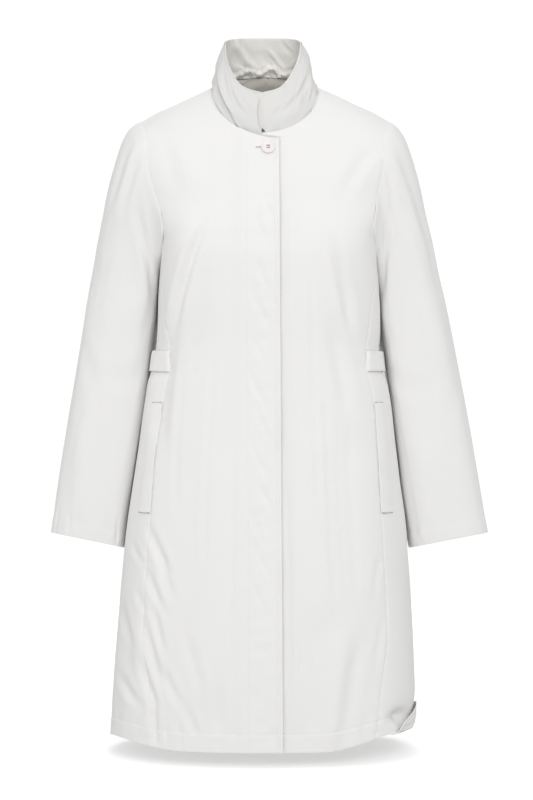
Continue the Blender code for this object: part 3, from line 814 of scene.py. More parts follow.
def body_rise(angle, points):
    """Rise of the larger folds of the body."""
    facing = np.cos(angle)
    x = points[..., 0]
    z = points[..., 2]
    front = fold_rise(x, z, FRONT_FOLDS) + fold_rise(x, z, DRAG_LINES)
    back = fold_rise(x, z, BACK_FOLDS)
    across = x - 2.0 * points[..., 1]
    rise = np.where(facing > 0.0, front, back) * smooth(np.abs(facing), 0.0, FOLD_SIDE_FADE)
    return rise + DRIFT * drift(across, z)


def front_points(side):
    """Grid of a front; side is -1 for the wearer's right and 1 for the left."""
    angle, z = panel_spots(FRONT_SHARES, FRONT_CORNER, lambda h: panel_angle(-lap(h), h), seam_angle,
                           NECK_FRONT[side], False, LOW_ROWS, HIGH_ROWS)
    plain = skin(side * angle, z)
    across, up = flat_cut(plain)
    own = side * plain[..., 0]
    to_seam = across[:, -1:] - across
    rise = body_rise(side * angle, plain)
    rise += seam_dip(to_seam, up) + turning(up, HEM_TURN, across)
    if side < 0:
        lift = LAP_STAND_OFF * (1.0 - smooth(own, LAP_RISE_START, LAP_RISE_END))
        uneven = 0.7 + 0.3 * np.sin(23.0 * z) + 0.25 * np.sin(61.0 * z + 1.0)
        gape = LAP_GAPE * bell(across, LAP_GAPE_WIDTH) * uneven
        near_edge = 1.0 - smooth(own, LAP_TOP_GAPE_START, LAP_TOP_GAPE_END)
        gape += LAP_TOP_GAPE * bell(z - LAP_TOP_Z, LAP_TOP_GAPE_HEIGHT) * near_edge
        on_fly = 1.0 - smooth(z, FLY_TOP_Z - FLY_TOP_SOFT, FLY_TOP_Z + FLY_TOP_SOFT)
        dip = STITCH_DIP * bell(own - FLY_STITCH, FLY_DIP_WIDTH) * on_fly
        for distance in EDGE_STITCHES:
            dip += STITCH_DIP * bell(across - distance, EDGE_DIP_WIDTH)
        uneven_fly = FLY_UNEVEN * crumple(FLY_UNEVEN_PACE * z, own) * bell(own - FLY_MIDDLE, FLY_HALF)
        rise += lift + gape - dip + uneven_fly * on_fly + fold_rise(plain[..., 0], z, FLY_PUCKERS)
    else:
        rise += fold_rise(plain[..., 0], z, LAP_TOP_TROUGH)
    points = plain + skin_normal(side * angle, z) * (WALL + rise)[..., None]
    points = drawn(points, angle, z, side)
    return points if side > 0 else points[:, ::-1]


def back_spots(shares, low_rows, high_rows):
    """(angle from the middle back, z) of half of the back."""
    return panel_spots(shares, BACK_CORNER, lambda h: 0.0 * h, lambda h: math.pi - seam_angle(h),
                       NECK_BACK, True, low_rows, high_rows)


def flap_length(degrees):
    """Length of the cloth turned up at the wearer's left."""
    return table_value(FLAP, degrees)


def hem_lift(angle, side):
    """How far the hem is drawn up, before its corner is turned."""
    degrees = np.degrees(angle)
    if side > 0:
        rise = smooth(degrees, LEFT_LIFT_START, LEFT_LIFT_FULL)
        fall = smooth(degrees, FLAP_FALL, FLAP[-1, 0])
        return LEFT_LIFT * rise * (1.0 - fall) - flap_length(degrees)
    rise = smooth(degrees, RIGHT_LIFT_START, RIGHT_LIFT_FULL)
    fall = smooth(degrees, RIGHT_LIFT_FALL, RIGHT_LIFT_END)
    return RIGHT_LIFT * rise * (1.0 - fall)


def drawn(points, angle, z, side):
    """Points with the hem drawn up, and the shoulder beside the neck drawn in at the wearer's left."""
    moved = points.copy()
    moved[..., 2] += hem_lift(angle, side) * (1.0 - smooth(z - HEM_Z, 0.0, HEM_LIFT_FADE))
    if side > 0:
        near = smooth(moved[..., 2], NECK_IN_START, 0.0) * bell(np.degrees(angle) - 90.0, NECK_IN_HALF)
        moved[..., 0] -= NECK_IN * near
    return moved


def flap(angle, points, normals, from_hem):
    """The back near the hem, with its corner turned up and a dent above it."""
    degrees = np.degrees(angle)
    length = flap_length(degrees)
    past = np.maximum(0.0, length - from_hem)
    turn = np.minimum(past / FLAP_BEND, math.pi)
    rest = np.maximum(0.0, past - math.pi * FLAP_BEND)
    out = FLAP_BEND * (1.0 - np.cos(turn)) + rest * math.sin(FLAP_OPEN)
    out = out - FLAP_CREASE * bell(rest - FLAP_CREASE_UP, FLAP_CREASE_WIDTH)
    up = past - FLAP_BEND * np.sin(turn) + rest * math.cos(FLAP_OPEN)
    dent = FLAP_DENT * bell(degrees - FLAP_DENT_ANGLE, FLAP_DENT_HALF)
    dent = dent * bell(points[..., 2] - FLAP_DENT_Z, FLAP_DENT_HEIGHT) * (past <= 0.0)
    near_hem = 1.0 - smooth(from_hem, FLAP_INSET_START, FLAP_INSET_END)
    inset = FLAP_INSET * length / FLAP[:, 1].max() * near_hem
    moved = points + normals * (out - dent - inset)[..., None]
    moved[..., 2] += up
    return moved


def back_points(side):
    """Grid of half of the back; side is -1 for the wearer's right and 1 for the left."""
    angle, z = back_spots(BACK_SHARES, BACK_LOW_ROWS, BACK_HIGH_ROWS)
    turned = math.pi - angle
    plain = skin(side * turned, z)
    across, up = flat_cut(plain)
    to_seam = across[:, -1:] - across
    rise = body_rise(side * turned, plain) + turning(up, HEM_TURN, across)
    rise += seam_dip(to_seam, up) + MIDDLE_SEAM_SHARE * seam_dip(across, up)
    normals = skin_normal(side * turned, z)
    points = plain + normals * (WALL + rise)[..., None]
    points = drawn(points, turned, z, side)
    if side > 0:
        points = flap(turned, points, normals, z - HEM_Z)
    return points if side < 0 else points[:, ::-1]


def armhole_point(turn, side):
    """Inside of the body along an armhole, from the shoulder, front first, on the +X side."""
    share = turn / math.pi
    front_x, front_z = curve_value(ARMHOLE, np.clip(share, 0.0, 1.0))
    back_x, back_z = curve_value(ARMHOLE, np.clip(2.0 - share, 0.0, 1.0))
    at_front = share <= 1.0
    angle = np.where(at_front, panel_angle(front_x, front_z), math.pi - panel_angle(back_x, back_z, True))
    spot = skin(side * angle, np.where(at_front, front_z, back_z))
    spot[..., 0] *= side
    return spot


def ring_point(along, turn):
    """Inside of a plain sleeve."""
    outer_x, outer_z, inner_x, inner_z, front, back, middle_y = table_row(SLEEVE, along)
    half_x = (outer_x - inner_x) / 2
    half_z = (outer_z - inner_z) / 2
    shrink = 1.0 - WALL / np.hypot(half_x, half_z)
    depth = np.where(np.sin(turn) > 0.0, front, back) - WALL
    inner = smooth(along, SLEEVE_SQUARE_START, SLEEVE_SQUARE_FULL) * (np.cos(turn) < 0.0)
    power = 2.0 / lerp(SLEEVE_SQUARENESS, SLEEVE_SQUARENESS_INNER, inner)
    across = np.copysign(np.abs(np.cos(turn)) ** power, np.cos(turn)) * shrink
    deep = np.copysign(np.abs(np.sin(turn)) ** power, np.sin(turn))
    return np.stack(((outer_x + inner_x) / 2 + half_x * across, middle_y - depth * deep,
                     (outer_z + inner_z) / 2 + half_z * across), axis=-1)


def sleeve_base(along, turn, side):
    """Inside of a sleeve joined to its armhole, on the +X side."""
    blend = 1.0 - smooth(along, 0.0, SLEEVE_CAP_BLEND)
    wrapped = np.mod(turn, 2.0 * math.pi)
    hole = armhole_point(wrapped, side)
    ahead = unit(ring_point(SLEEVE_SET_OUT + 0.0 * turn, wrapped) - hole)
    low = 0.5 - 0.5 * np.cos(turn)
    start = hole - ahead * SLEEVE_TUCK
    point = ring_point(along, wrapped) + (start - ring_point(0.0 * turn, wrapped)) * blend[..., None]
    point[..., 0] += table_value(SLEEVE_OUTER[side], along) * (1.0 - low)
    point[..., 0] += table_value(SLEEVE_INNER[side], along) * low
    cuff = smooth(along, SLEEVE[-1, 0] - CUFF_UP_REACH, SLEEVE[-1, 0])
    point[..., 2] += CUFF_UP * cuff * np.maximum(0.0, np.sin(turn))
    return point


def sleeve_points(side):
    along, turn = np.meshgrid(SLEEVE_ALONG, SLEEVE_TURNS, indexing="ij")
    plain = sleeve_base(along, turn, side)
    normals = grid_normals(plain, True)
    across = np.degrees(turn) * DEGREE_OF_SLEEVE
    rise = fold_rise(across, along, SLEEVE_FOLDS[side])
    rise += DRIFT * drift(0.3 * np.sin(turn) + 0.1 * side, 0.25 * np.cos(turn) - along)
    lean = bell(np.degrees(turn) - SLEEVE_LEAN_TURN, SLEEVE_LEAN_HALF)
    rise += SLEEVE_LEAN * lean * bell(along - SLEEVE_LEAN_ALONG, SLEEVE_LEAN_LENGTH)
    from_cuff = SLEEVE[-1, 0] - along
    rise += turning(from_cuff, CUFF_TURN, across) + seam_dip(along, across)
    points = plain + normals * (WALL + rise)[..., None]
    points[..., 0] *= side
    return points if side > 0 else points[:, ::-1]


def collar_point(degrees, up, out):
    """Inside of the outer leaf of the collar at an angle and a share of its height, moved out."""
    turned = np.abs(np.where(degrees <= 180.0, degrees, 360.0 - degrees))
    foot_x, foot_y, foot_z, rim_x, rim_y, rim_z = table_row(COLLAR, turned)
    point = np.stack((lerp(foot_x, rim_x, up), lerp(foot_y, rim_y, up), lerp(foot_z, rim_z, up)),
                     axis=-1)
    away = point.copy()
    away[..., 2] = 0.0
    lap_rise = COLLAR_LAP_RISE * smooth(degrees, COLLAR_LAP_RISE_START, COLLAR_LAP_RISE_END)
    bulge = COLLAR_BULGE * np.sin(math.pi * np.maximum(0.0, up))
    tuck = COLLAR_TUCK * smooth(COLLAR_TUCK_START - up, 0.0, COLLAR_TUCK_START - COLLAR_FOOT_UP)
    left, right = table_row(COLLAR_WAIST, up)
    waist = left * bell(degrees - 90.0, COLLAR_WAIST_HALF) + right * bell(degrees - 270.0, COLLAR_WAIST_HALF)
    point += unit(away) * (bulge + out + lap_rise - tuck - waist)[..., None]
    other = (degrees < 0.0) | (degrees > 180.0)
    point[..., 0] *= np.where(other, -1.0, 1.0)
    point[..., 0] += COLLAR_LEAN * up
    return point


RIM_STITCH = 0.0045
RIM_DIP = 0.0009
RIM_DIP_WIDTH = 0.0014
COLLAR_CRUMPLE = 0.0008
COLLAR_CRUMPLE_PACE = 0.6
COLLAR_CRUMPLE_REACH = 0.010
COLLAR_DRIFT = 0.0007
COLLAR_DRIFT_PACE = 2.0
# The facing stands off the outer leaf at the back, half of that reach in degrees.
FACING_STAND = 0.0036
FACING_STAND_HALF = 70.0
# Its gathers come no nearer to the outer leaf than this.
FACING_NEAREST = 0.0004


def collar_points(outer, foot, back_foot, out):
    """Grid of the outer leaf of the collar, or of the facing behind it, from its foot."""
    share, degrees = np.meshgrid(COLLAR_SHARES, COLLAR_DEGREES, indexing="ij")
    from_notch = np.where(degrees > 180.0, degrees - 360.0, degrees) - COLLAR_NOTCH
    low = lerp(foot, back_foot, bell(degrees - 180.0, COLLAR_BACK_HALF))
    up = lerp(low + COLLAR_NOTCH_UP * bell(from_notch, COLLAR_NOTCH_HALF), 1.0, share)
    edge = table_value(COLLAR_EDGE, up) - COLLAR_OVER_END
    degrees = degrees + edge * smooth(degrees, COLLAR_EDGE_START, COLLAR_OVER_END)
    u = degrees * DEGREE_OF_COLLAR
    v = up * COLLAR_HEIGHT
    rise = fold_rise(u, v, COLLAR_FOLDS)
    rise += COLLAR_CRUMPLE * crumple(COLLAR_CRUMPLE_PACE * u, 0.0) * bell(v, COLLAR_CRUMPLE_REACH)
    rise += COLLAR_DRIFT * drift(COLLAR_DRIFT_PACE * u, COLLAR_DRIFT_PACE * v)
    if outer:
        rise -= RIM_DIP * bell(COLLAR_HEIGHT - v - RIM_STITCH, RIM_DIP_WIDTH)
    else:
        stand = FACING_STAND * np.sqrt(np.clip(1.0 - up * up, 0.0, 1.0))
        stand = stand * bell(degrees - 180.0, FACING_STAND_HALF)
        gathers = fold_rise(u, v, FACING_FOLDS)
        inward = stand + gathers
        inward = 0.5 * (inward + np.sqrt(inward * inward + 4.0 * FACING_NEAREST ** 2))
        rise = np.minimum(rise, 0.0) - inward
    return collar_point(degrees, up, out + rise)


def lining_points():
    """Grid of the lining band on the inside of the top of the back."""
    shares = np.linspace(0.0, LINING_SHARE, LINING_COLUMNS)
    rows = np.concatenate(((0.0,), np.linspace(LINING_LOW, 1.0, LINING_ROWS)))
    angle, z = back_spots(shares, BACK_LOW_ROWS[-1:], rows)
    angle = np.concatenate((math.pi - angle[1:, :0:-1], math.pi + angle[1:]), axis=1)
    z = np.concatenate((z[1:, :0:-1], z[1:]), axis=1)
    plain = skin(angle, z)
    across, up = flat_cut(plain)
    top = up / up[-1:]
    rise = LINING_CRUMPLE * crumple(0.33 * across, 0.4 * up) + LINING_WAVE * np.sin(330.0 * up + 9.0 * across)
    rise *= smooth(up, 0.0, LINING_FOOT_SOFT) * smooth(up[-1:] - up, 0.0, LINING_TOP_SOFT)
    rise *= 1.0 + LINING_LUMPS * smooth(top, 0.2, 0.6)
    inward = LAID_GAP + LINING_IN + rise + LINING_TOP_IN * smooth(top, 0.15, 0.65)
    points = plain - skin_normal(angle, z) * inward[..., None]
    share = np.concatenate((shares[:0:-1], shares)) / BACK_CORNER
    middle = 1.0 - smooth(share, LINING_UP_SHARE, LINING_FLAT_SHARE)
    points[..., 2] += LINING_TOP_UP * smooth(top, 0.3, 1.0) * middle
    return points


def laid_points(angle, z, out):
    """Points on the folded body at angles from the middle front, moved out."""
    plain = skin(angle, z)
    rise = body_rise(angle, plain)
    return plain + skin_normal(angle, z) * (2.0 * WALL + LAID_GAP + rise + out)[..., None]


def belt_points():
    """Grid of the half belt, from the seam at the wearer's left round to the right."""
    z = np.linspace(BELT_BOTTOM_Z, BELT_TOP_Z, BELT_ROWS)[:, None]
    seam = seam_angle(z)
    share = np.linspace(0.0, 1.0, BELT_COLUMNS)[None, :]
    angle = seam + (2.0 * math.pi - 2.0 * seam) * share
    height = z + 0.0 * angle
    up = (height - BELT_BOTTOM_Z) / (BELT_TOP_Z - BELT_BOTTOM_Z)
    stand = lerp(BELT_STAND_LOW, BELT_STAND_HIGH, up) * np.sin(angle - math.pi) ** 4
    round_edge = -BELT_EDGE_DROP * (2.0 * np.abs(up - 0.5)) ** 6
    from_end = flat_cut(skin(angle, height))[0]
    from_end = np.minimum(from_end, from_end[:, -1:] - from_end)
    sunk = (2.0 * WALL + LAID_GAP) * (1.0 - smooth(from_end, 0.0, BELT_END))
    points = laid_points(angle, height, stand + round_edge - sunk)
    across = flat_cut(points)[0]
    uneven = LAID_UNEVEN * crumple(0.4 * across, height)
    return points + grid_normals(points) * uneven[..., None]


def welt_points(side):
    """Grid of a pocket welt, from the seam towards the back."""
    z = np.linspace(WELT_BOTTOM_Z, WELT_TOP_Z, WELT_ROWS)[:, None]
    up = (z - WELT_BOTTOM_Z) / (WELT_TOP_Z - WELT_BOTTOM_Z)
    width = lerp(WELT_WIDTH_BOTTOM, WELT_WIDTH_TOP, up)
    seam = seam_angle(z)
    share = np.linspace(0.0, 1.0, WELT_COLUMNS)[None, :]
    turn = 0.05
    reach = np.linalg.norm(skin(seam + turn, z) - skin(seam, z), axis=-1) / turn
    angle = seam + width / reach * share
    height = z + 0.0 * angle
    puff = WELT_PUFF * np.sin(math.pi * share) ** 0.7 + LAID_UNEVEN * crumple(0.5 * height, 0.02 * share)
    points = laid_points(side * angle, height, puff - WELT_SUNK)
    return points if side > 0 else points[:, ::-1]


EDGE_ROUND = 0.0004
EDGE_ANGLE = math.radians(60.0)


def smooth_piece(name, mesh, look):
    """A mesh of one look, smooth all over, as a piece of the part."""
    mesh.polygons.foreach_set("use_smooth", np.ones(len(mesh.polygons), dtype=bool))
    mesh.materials.append(look)
    piece = bpy.data.objects.new(name, mesh)
    bpy.context.scene.collection.objects.link(piece)
    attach(piece, "root")
    return piece


def whole(grid, closed):
    """A grid, with its first column again at the end when it is closed."""
    return np.concatenate((grid, grid[:, :1]), axis=1) if closed else grid


def cloth(name, points, closed, wall, look):
    """A shell of cloth inside a grid of points, with its flat lengths as texture coordinates."""
    flat = np.stack(flat_cut(whole(points, closed)), axis=-1)
    rows, columns = points.shape[:2]
    index = whole(np.arange(rows * columns).reshape(rows, columns), closed)
    corners = ((slice(0, -1), slice(0, -1)), (slice(0, -1), slice(1, None)),
               (slice(1, None), slice(1, None)), (slice(1, None), slice(0, -1)))
    faces = np.stack([index[corner] for corner in corners], axis=-1).reshape(-1, 4)
    mesh = bpy.data.meshes.new(name)
    mesh.from_pydata(points.reshape(-1, 3).tolist(), [], faces.tolist())
    layer = mesh.uv_layers.new(name="cut")
    layer.data.foreach_set("uv", np.stack([flat[corner] for corner in corners], axis=2).reshape(-1))
    piece = smooth_piece(name, mesh, look)
    shell = piece.modifiers.new("shell", "SOLIDIFY")
    shell.thickness = wall
    shell.offset = -1.0
    edge = piece.modifiers.new("edge", "BEVEL")
    edge.width = EDGE_ROUND
    edge.segments = 2
    edge.limit_method = "ANGLE"
    edge.angle_limit = EDGE_ANGLE
    return piece


def cut_size(points, closed):
    """Width, length and area of a grid laid flat."""
    grid = whole(points, closed)
    across, up = flat_cut(grid)
    first = grid[1:, 1:] - grid[:-1, :-1]
    second = grid[1:, :-1] - grid[:-1, 1:]
    area = 0.5 * np.linalg.norm(np.cross(first, second), axis=-1).sum()
    return float(across[:, -1].max()), float(up[-1].max()), float(area)


def fill(node, **values):
    """Set inputs of a node; an underscore stands for a space in their names."""
    for name, value in values.items():
        node.inputs[name.replace("_", " ")].default_value = value


def new_look(name, colour, roughness, shine):
    """A material and its shader."""
    made = bpy.data.materials.new(name)
    made.use_nodes = True
    shader = made.node_tree.nodes["Principled BSDF"]
    fill(shader, Base_Color=(*colour, 1.0), Roughness=roughness, Specular_IOR_Level=shine)
    return made, shader


def woven_look(name, colour, roughness, thread, depth):
    """Closely woven matt cloth; the thread is its spacing in metres."""
    made, shader = new_look(name, colour, roughness, 0.25)
    nodes = made.node_tree.nodes
    links = made.node_tree.links
    fill(shader, Sheen_Weight=0.06, Sheen_Roughness=0.5)
    cut = nodes.new("ShaderNodeUVMap")
    cut.uv_map = "cut"
    weave = nodes.new("ShaderNodeMath")
    weave.operation = "ADD"
    for place, way in enumerate(("X", "Y")):
        wave = nodes.new("ShaderNodeTexWave")
        wave.wave_type = "BANDS"
        wave.bands_direction = way
        fill(wave, Scale=math.pi / (10.0 * thread), Distortion=0.6, Detail=1.0)
        links.new(cut.outputs["UV"], wave.inputs["Vector"])
        links.new(wave.outputs["Fac"], weave.inputs[place])
    noise = nodes.new("ShaderNodeTexNoise")
    fill(noise, Scale=260.0, Detail=4.0)
    links.new(cut.outputs["UV"], noise.inputs["Vector"])
    fine = nodes.new("ShaderNodeBump")
    fill(fine, Strength=0.35, Distance=depth)
    links.new(weave.outputs[0], fine.inputs["Height"])
    slub = nodes.new("ShaderNodeBump")
    fill(slub, Strength=0.30, Distance=0.0004)
    links.new(noise.outputs["Fac"], slub.inputs["Height"])
    links.new(fine.outputs["Normal"], slub.inputs["Normal"])
    links.new(slub.outputs["Normal"], shader.inputs["Normal"])
    return made


def plain_look(name, colour, roughness, glow=0.0, shine=0.25):
    made, shader = new_look(name, colour, roughness, shine)
    fill(shader, Emission_Color=(1.0, 1.0, 1.0, 1.0), Emission_Strength=glow)
    return made


COAT_COLOUR = (0.836, 0.832, 0.820)
# The collar is the coat cloth made darker: painted shade.
COLLAR_PAINTED_SHADE_COLOUR = (0.728, 0.723, 0.708)
# The facing is the coat cloth made lighter and warmer: painted light inside the collar, where little light
# reaches.
FACING_PAINTED_LIGHT_COLOUR = (0.870, 0.855, 0.818)
# The lining has its own darker tone, made darker still: painted shade inside the back of the neck.
LINING_TONE_AND_SHADE_COLOUR = (0.600, 0.576, 0.524)
BUTTON_COLOUR = (0.850, 0.790, 0.795)
THREAD_COLOUR = (0.820, 0.814, 0.800)
# A dark colour for the buttonhole slit: painted shade in its opening.
SLIT_SHADE_COLOUR = (0.160, 0.155, 0.150)
# Dark thread for the button and for the welt tacks. On the tacks the darkness is painted shade at the welt
# ends.
TACK_AND_SHADE_COLOUR = (0.300, 0.285, 0.285)
# roughness, spacing of the threads, depth of the weave
COAT_WEAVE = (0.80, 0.0006, 0.00012)
LINING_WEAVE = (0.60, 0.0004, 0.00006)
coat = woven_look("coat_cloth", COAT_COLOUR, *COAT_WEAVE)
collar_shaded_look = woven_look("collar_cloth", COLLAR_PAINTED_SHADE_COLOUR, *COAT_WEAVE)
facing_lit_look = woven_look("facing_cloth", FACING_PAINTED_LIGHT_COLOUR, *COAT_WEAVE)
lining_tone_and_shade_look = woven_look("lining_cloth", LINING_TONE_AND_SHADE_COLOUR, *LINING_WEAVE)
button_look = plain_look("button_plastic", BUTTON_COLOUR, 0.28, shine=0.5)
thread_look = plain_look("thread", THREAD_COLOUR, 0.70)
tack_and_shade_look = plain_look("tack_and_painted_shade", TACK_AND_SHADE_COLOUR, 0.80)
slit_shade_look = plain_look("painted_shade_slit", SLIT_SHADE_COLOUR, 0.90)

STITCH_LENGTH = 0.0026
STITCH_GAP = 0.0009
STITCH_RADIUS = 0.00022
STITCH_SIDES = 5
STITCH_OUT = 0.4
STITCH_FULL = 0.7
STITCH_AHEAD = 0.4


def along_line(values, lengths, places):
    """Values at places along a line with known lengths."""
    return np.stack([np.interp(places, lengths, values[:, axis]) for axis in range(3)], axis=-1)


def stitches(name, lines):
    """Rows of small stitches along lines of points with outward directions."""
    middles = []
    aheads = []
    normals = []
    for points, outward in lines:
        lengths = run_lengths(points)
        count = int(lengths[-1] / (STITCH_LENGTH + STITCH_GAP))
        spots = (np.arange(count) + 0.5) * (lengths[-1] / count)
        ahead = STITCH_AHEAD * STITCH_LENGTH
        middles.append(along_line(points, lengths, spots))
        aheads.append(along_line(points, lengths, spots + ahead) - along_line(points, lengths, spots - ahead))
        normals.append(along_line(outward, lengths, spots))
    middle = np.concatenate(middles)
    ahead = unit(np.concatenate(aheads))
    normal = unit(np.concatenate(normals))
    aside = unit(np.cross(ahead, normal))
    turns = 2.0 * math.pi * np.arange(STITCH_SIDES) / STITCH_SIDES
    ring = aside[:, None] * np.cos(turns)[None, :, None] + normal[:, None] * np.sin(turns)[None, :, None]
    ring = ring * STITCH_RADIUS
    place = middle + normal * (STITCH_OUT * STITCH_RADIUS)
    half = ahead * (0.5 * STITCH_LENGTH)
    corners = np.concatenate((
        (place - half - normal * STITCH_RADIUS)[:, None],
        (place - STITCH_FULL * half)[:, None] + ring,
        (place + STITCH_FULL * half)[:, None] + ring,
        (place + half - normal * STITCH_RADIUS)[:, None],
    ), axis=1)
    sides = STITCH_SIDES
    last = 1 + 2 * sides
    pattern = []
    for start in range(1, 1 + sides):
        end = start % sides + 1
        pattern.append((0, end, start))
        pattern.append((start, end, sides + end, sides + start))
        pattern.append((sides + start, sides + end, last))
    every = [tuple(first + corner for corner in face)
             for first in range(0, len(middle) * (last + 1), last + 1) for face in pattern]
    mesh = bpy.data.meshes.new(name)
    mesh.from_pydata(corners.reshape(-1, 3).tolist(), [], every)
    piece = smooth_piece(name, mesh, thread_look)
    return piece


def line_across(points, normals, distance, reverse=False):
    """Line at a distance from the first column of a grid, or from the last."""
    if reverse:
        points = points[:, ::-1]
        normals = normals[:, ::-1]
    across = flat_cut(points)[0]
    return tuple(np.array([along_line(values[row], across[row], distance) for row in range(len(points))])
                 for values in (points, normals))


def line_up(points, normals, distance, reverse=False):
    """Line at a distance from the first row of a grid, or from the last."""
    return line_across(points.transpose(1, 0, 2), normals.transpose(1, 0, 2), distance, reverse)


def joined(line):
    """A line that runs on to its start."""
    return tuple(np.concatenate((values, values[:1])) for values in line)


pieces = {}
lines = {}
welt_ends = {}
TACK_OUT = -0.0001
FACING_GAP = 0.0003


def sew(node, points, wall, look=coat, closed=False):
    """The cloth that shows in place of a solid."""
    made = cloth(node + "_cloth", points, closed, wall, look)
    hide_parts(node)
    pieces[node] = (made, cut_size(points, closed))
    return points, grid_normals(points, closed)


for name, side in (("right", -1), ("left", 1)):
    front = sew("front_" + name, front_points(side), SHELL)
    back = sew("back_" + name, back_points(side), SHELL)
    sleeve = sew("sleeve_" + name, sleeve_points(side), SHELL, closed=True)
    welt = sew("pocket_welt_" + name, welt_points(side), WELT_WALL)
    seams = [line_up(*front, HEM_TURN)]
    if side < 0:
        for distance in EDGE_STITCHES:
            seams.append(line_across(*front, distance, True))
        fly = line_across(*front, LAP_TOP + FLY_STITCH, True)
        below = fly[0][:, 2] < FLY_TOP_Z
        seams.append([values[below] for values in fly])
    lines["front_" + name] = seams
    lines["back_" + name] = [line_up(*back, HEM_TURN)]
    lines["sleeve_" + name] = [joined(line_up(*sleeve, CUFF_TURN, True))]
    lines["pocket_welt_" + name] = [line(*welt, WELT_STITCH, reverse)
                                    for line in (line_across, line_up) for reverse in (False, True)]
    tacked = welt[0] + welt[1] * TACK_OUT
    welt_ends[name] = [(tacked[row, 1], tacked[row, -2]) for row in (0, -1)]

belt = sew("half_belt", belt_points(), BELT_WALL)
outer = collar_points(True, COLLAR_FOOT_UP, COLLAR_FOOT_BACK, COLLAR_WALL)
inner = collar_points(False, 0.0, FACING_FOOT_BACK, -FACING_GAP - COLLAR_SHELL)[:, ::-1]
# The collar's darker colour is painted shade.
collar = sew("collar", outer, COLLAR_SHELL, collar_shaded_look)
# The facing's lighter colour is painted light.
facing = sew("collar_facing", inner, COLLAR_SHELL, facing_lit_look)
# The lining's colour is partly its own tone and partly painted shade.
sew("back_neck_lining", lining_points()[:, ::-1], COLLAR_SHELL, lining_tone_and_shade_look)
lines["half_belt"] = [line_up(*belt, BELT_STITCH), line_up(*belt, BELT_STITCH, True)]
lines["collar"] = [line_up(*collar, RIM_STITCH, True)]
lines["collar_facing"] = [line_up(*facing, RIM_STITCH, True)]

for node, (made, (width, length, area)) in pieces.items():
    sewing = [stitches(node + "_stitching", lines[node])] if node in lines else []


# Button, its thread and the buttonhole
# radius, height
BUTTON_PROFILE = (
    (0.0000, 0.0000),
    (0.0090, 0.0000),
    (0.0100, 0.0005),
    (BUTTON_RADIUS, 0.0014),
    (0.0101, 0.0027),
    (0.0094, 0.0033),
    (0.0084, 0.0034),
    (0.0076, 0.0030),
    (0.0068, 0.0024),
    (0.0040, 0.0023),
    (0.0000, 0.0023),
)
BUTTON_STEPS = 64
BUTTON_CLEAR = 0.0004
HOLE_RADIUS = 0.0009
HOLE_OFFSET = 0.0017
HOLE_SIDES = 16
HOLE_REACH = 0.01
THREAD_RADIUS = 0.00055


def join_rings(shape, rings):
    """Faces between rings of a bmesh; a tip is a ring of one point again and again."""
    for low, high in zip(rings, rings[1:]):
        for start in range(len(low)):
            end = (start + 1) % len(low)
            shape.faces.new(tuple(dict.fromkeys((low[start], low[end], high[end], high[start]))))


def finished(shape, name):
    """The mesh of a bmesh, which is then freed."""
    mesh = bpy.data.meshes.new(name)
    shape.to_mesh(mesh)
    shape.free()
    return mesh


def turned_mesh(name, profile, steps):
    """A mesh turned from rows of radius and height."""
    turns = 2.0 * math.pi * np.arange(steps) / steps
    shape = bmesh.new()
    rings = []
    for radius, height in profile:
        if radius == 0.0:
            rings.append([shape.verts.new((0.0, 0.0, height))] * steps)
        else:
            spots = [(radius * math.cos(turn), radius * math.sin(turn), height) for turn in turns]
            rings.append([shape.verts.new(spot) for spot in spots])
    join_rings(shape, rings)
    return finished(shape, name)


button_angle = panel_angle(np.array(BUTTON_X), np.array(BUTTON_Z))
button_out = skin_normal(button_angle, np.array(BUTTON_Z))
button_plain = skin(button_angle, np.array(BUTTON_Z))
button_rise = WALL + LAP_STAND_OFF + float(body_rise(button_angle, button_plain))
button_spot = button_plain + button_out * (button_rise + BUTTON_CLEAR)
button_turn = Vector(button_out).to_track_quat("Z", "Y").to_matrix().to_4x4()
button_place = button_turn.copy()
button_place.translation = Vector(button_spot)
button_right = np.array(button_turn.col[0][:3])
button_up = np.array(button_turn.col[1][:3])


ROD_SIDES = 10
ROD_RINGS = 4
# Any direction that no rod runs along.
SLANTED = (0.37, 0.41, 0.83)


def rod(shape, start, end, radius):
    """A round-ended rod in a bmesh."""
    ahead = unit(end - start)
    aside = unit(np.cross(ahead, SLANTED))
    other = np.cross(ahead, aside)
    turns = 2.0 * math.pi * np.arange(ROD_SIDES) / ROD_SIDES
    slopes = np.linspace(0.0, math.pi / 2, ROD_RINGS + 1)[:-1]
    rings = [[shape.verts.new(start - ahead * radius)] * ROD_SIDES]
    for place, way, order in ((start, -1.0, slopes[::-1]), (end, 1.0, slopes)):
        for slope in order:
            middle = place + ahead * (way * radius * math.sin(slope))
            size = radius * math.cos(slope)
            spots = [middle + size * (aside * math.cos(turn) + other * math.sin(turn)) for turn in turns]
            rings.append([shape.verts.new(spot) for spot in spots])
    rings.append([shape.verts.new(end + ahead * radius)] * ROD_SIDES)
    join_rings(shape, rings)


def rods(name, ends, radius, look):
    shape = bmesh.new()
    for start, end in ends:
        rod(shape, start, end, radius)
    smooth_piece(name, finished(shape, name), look)


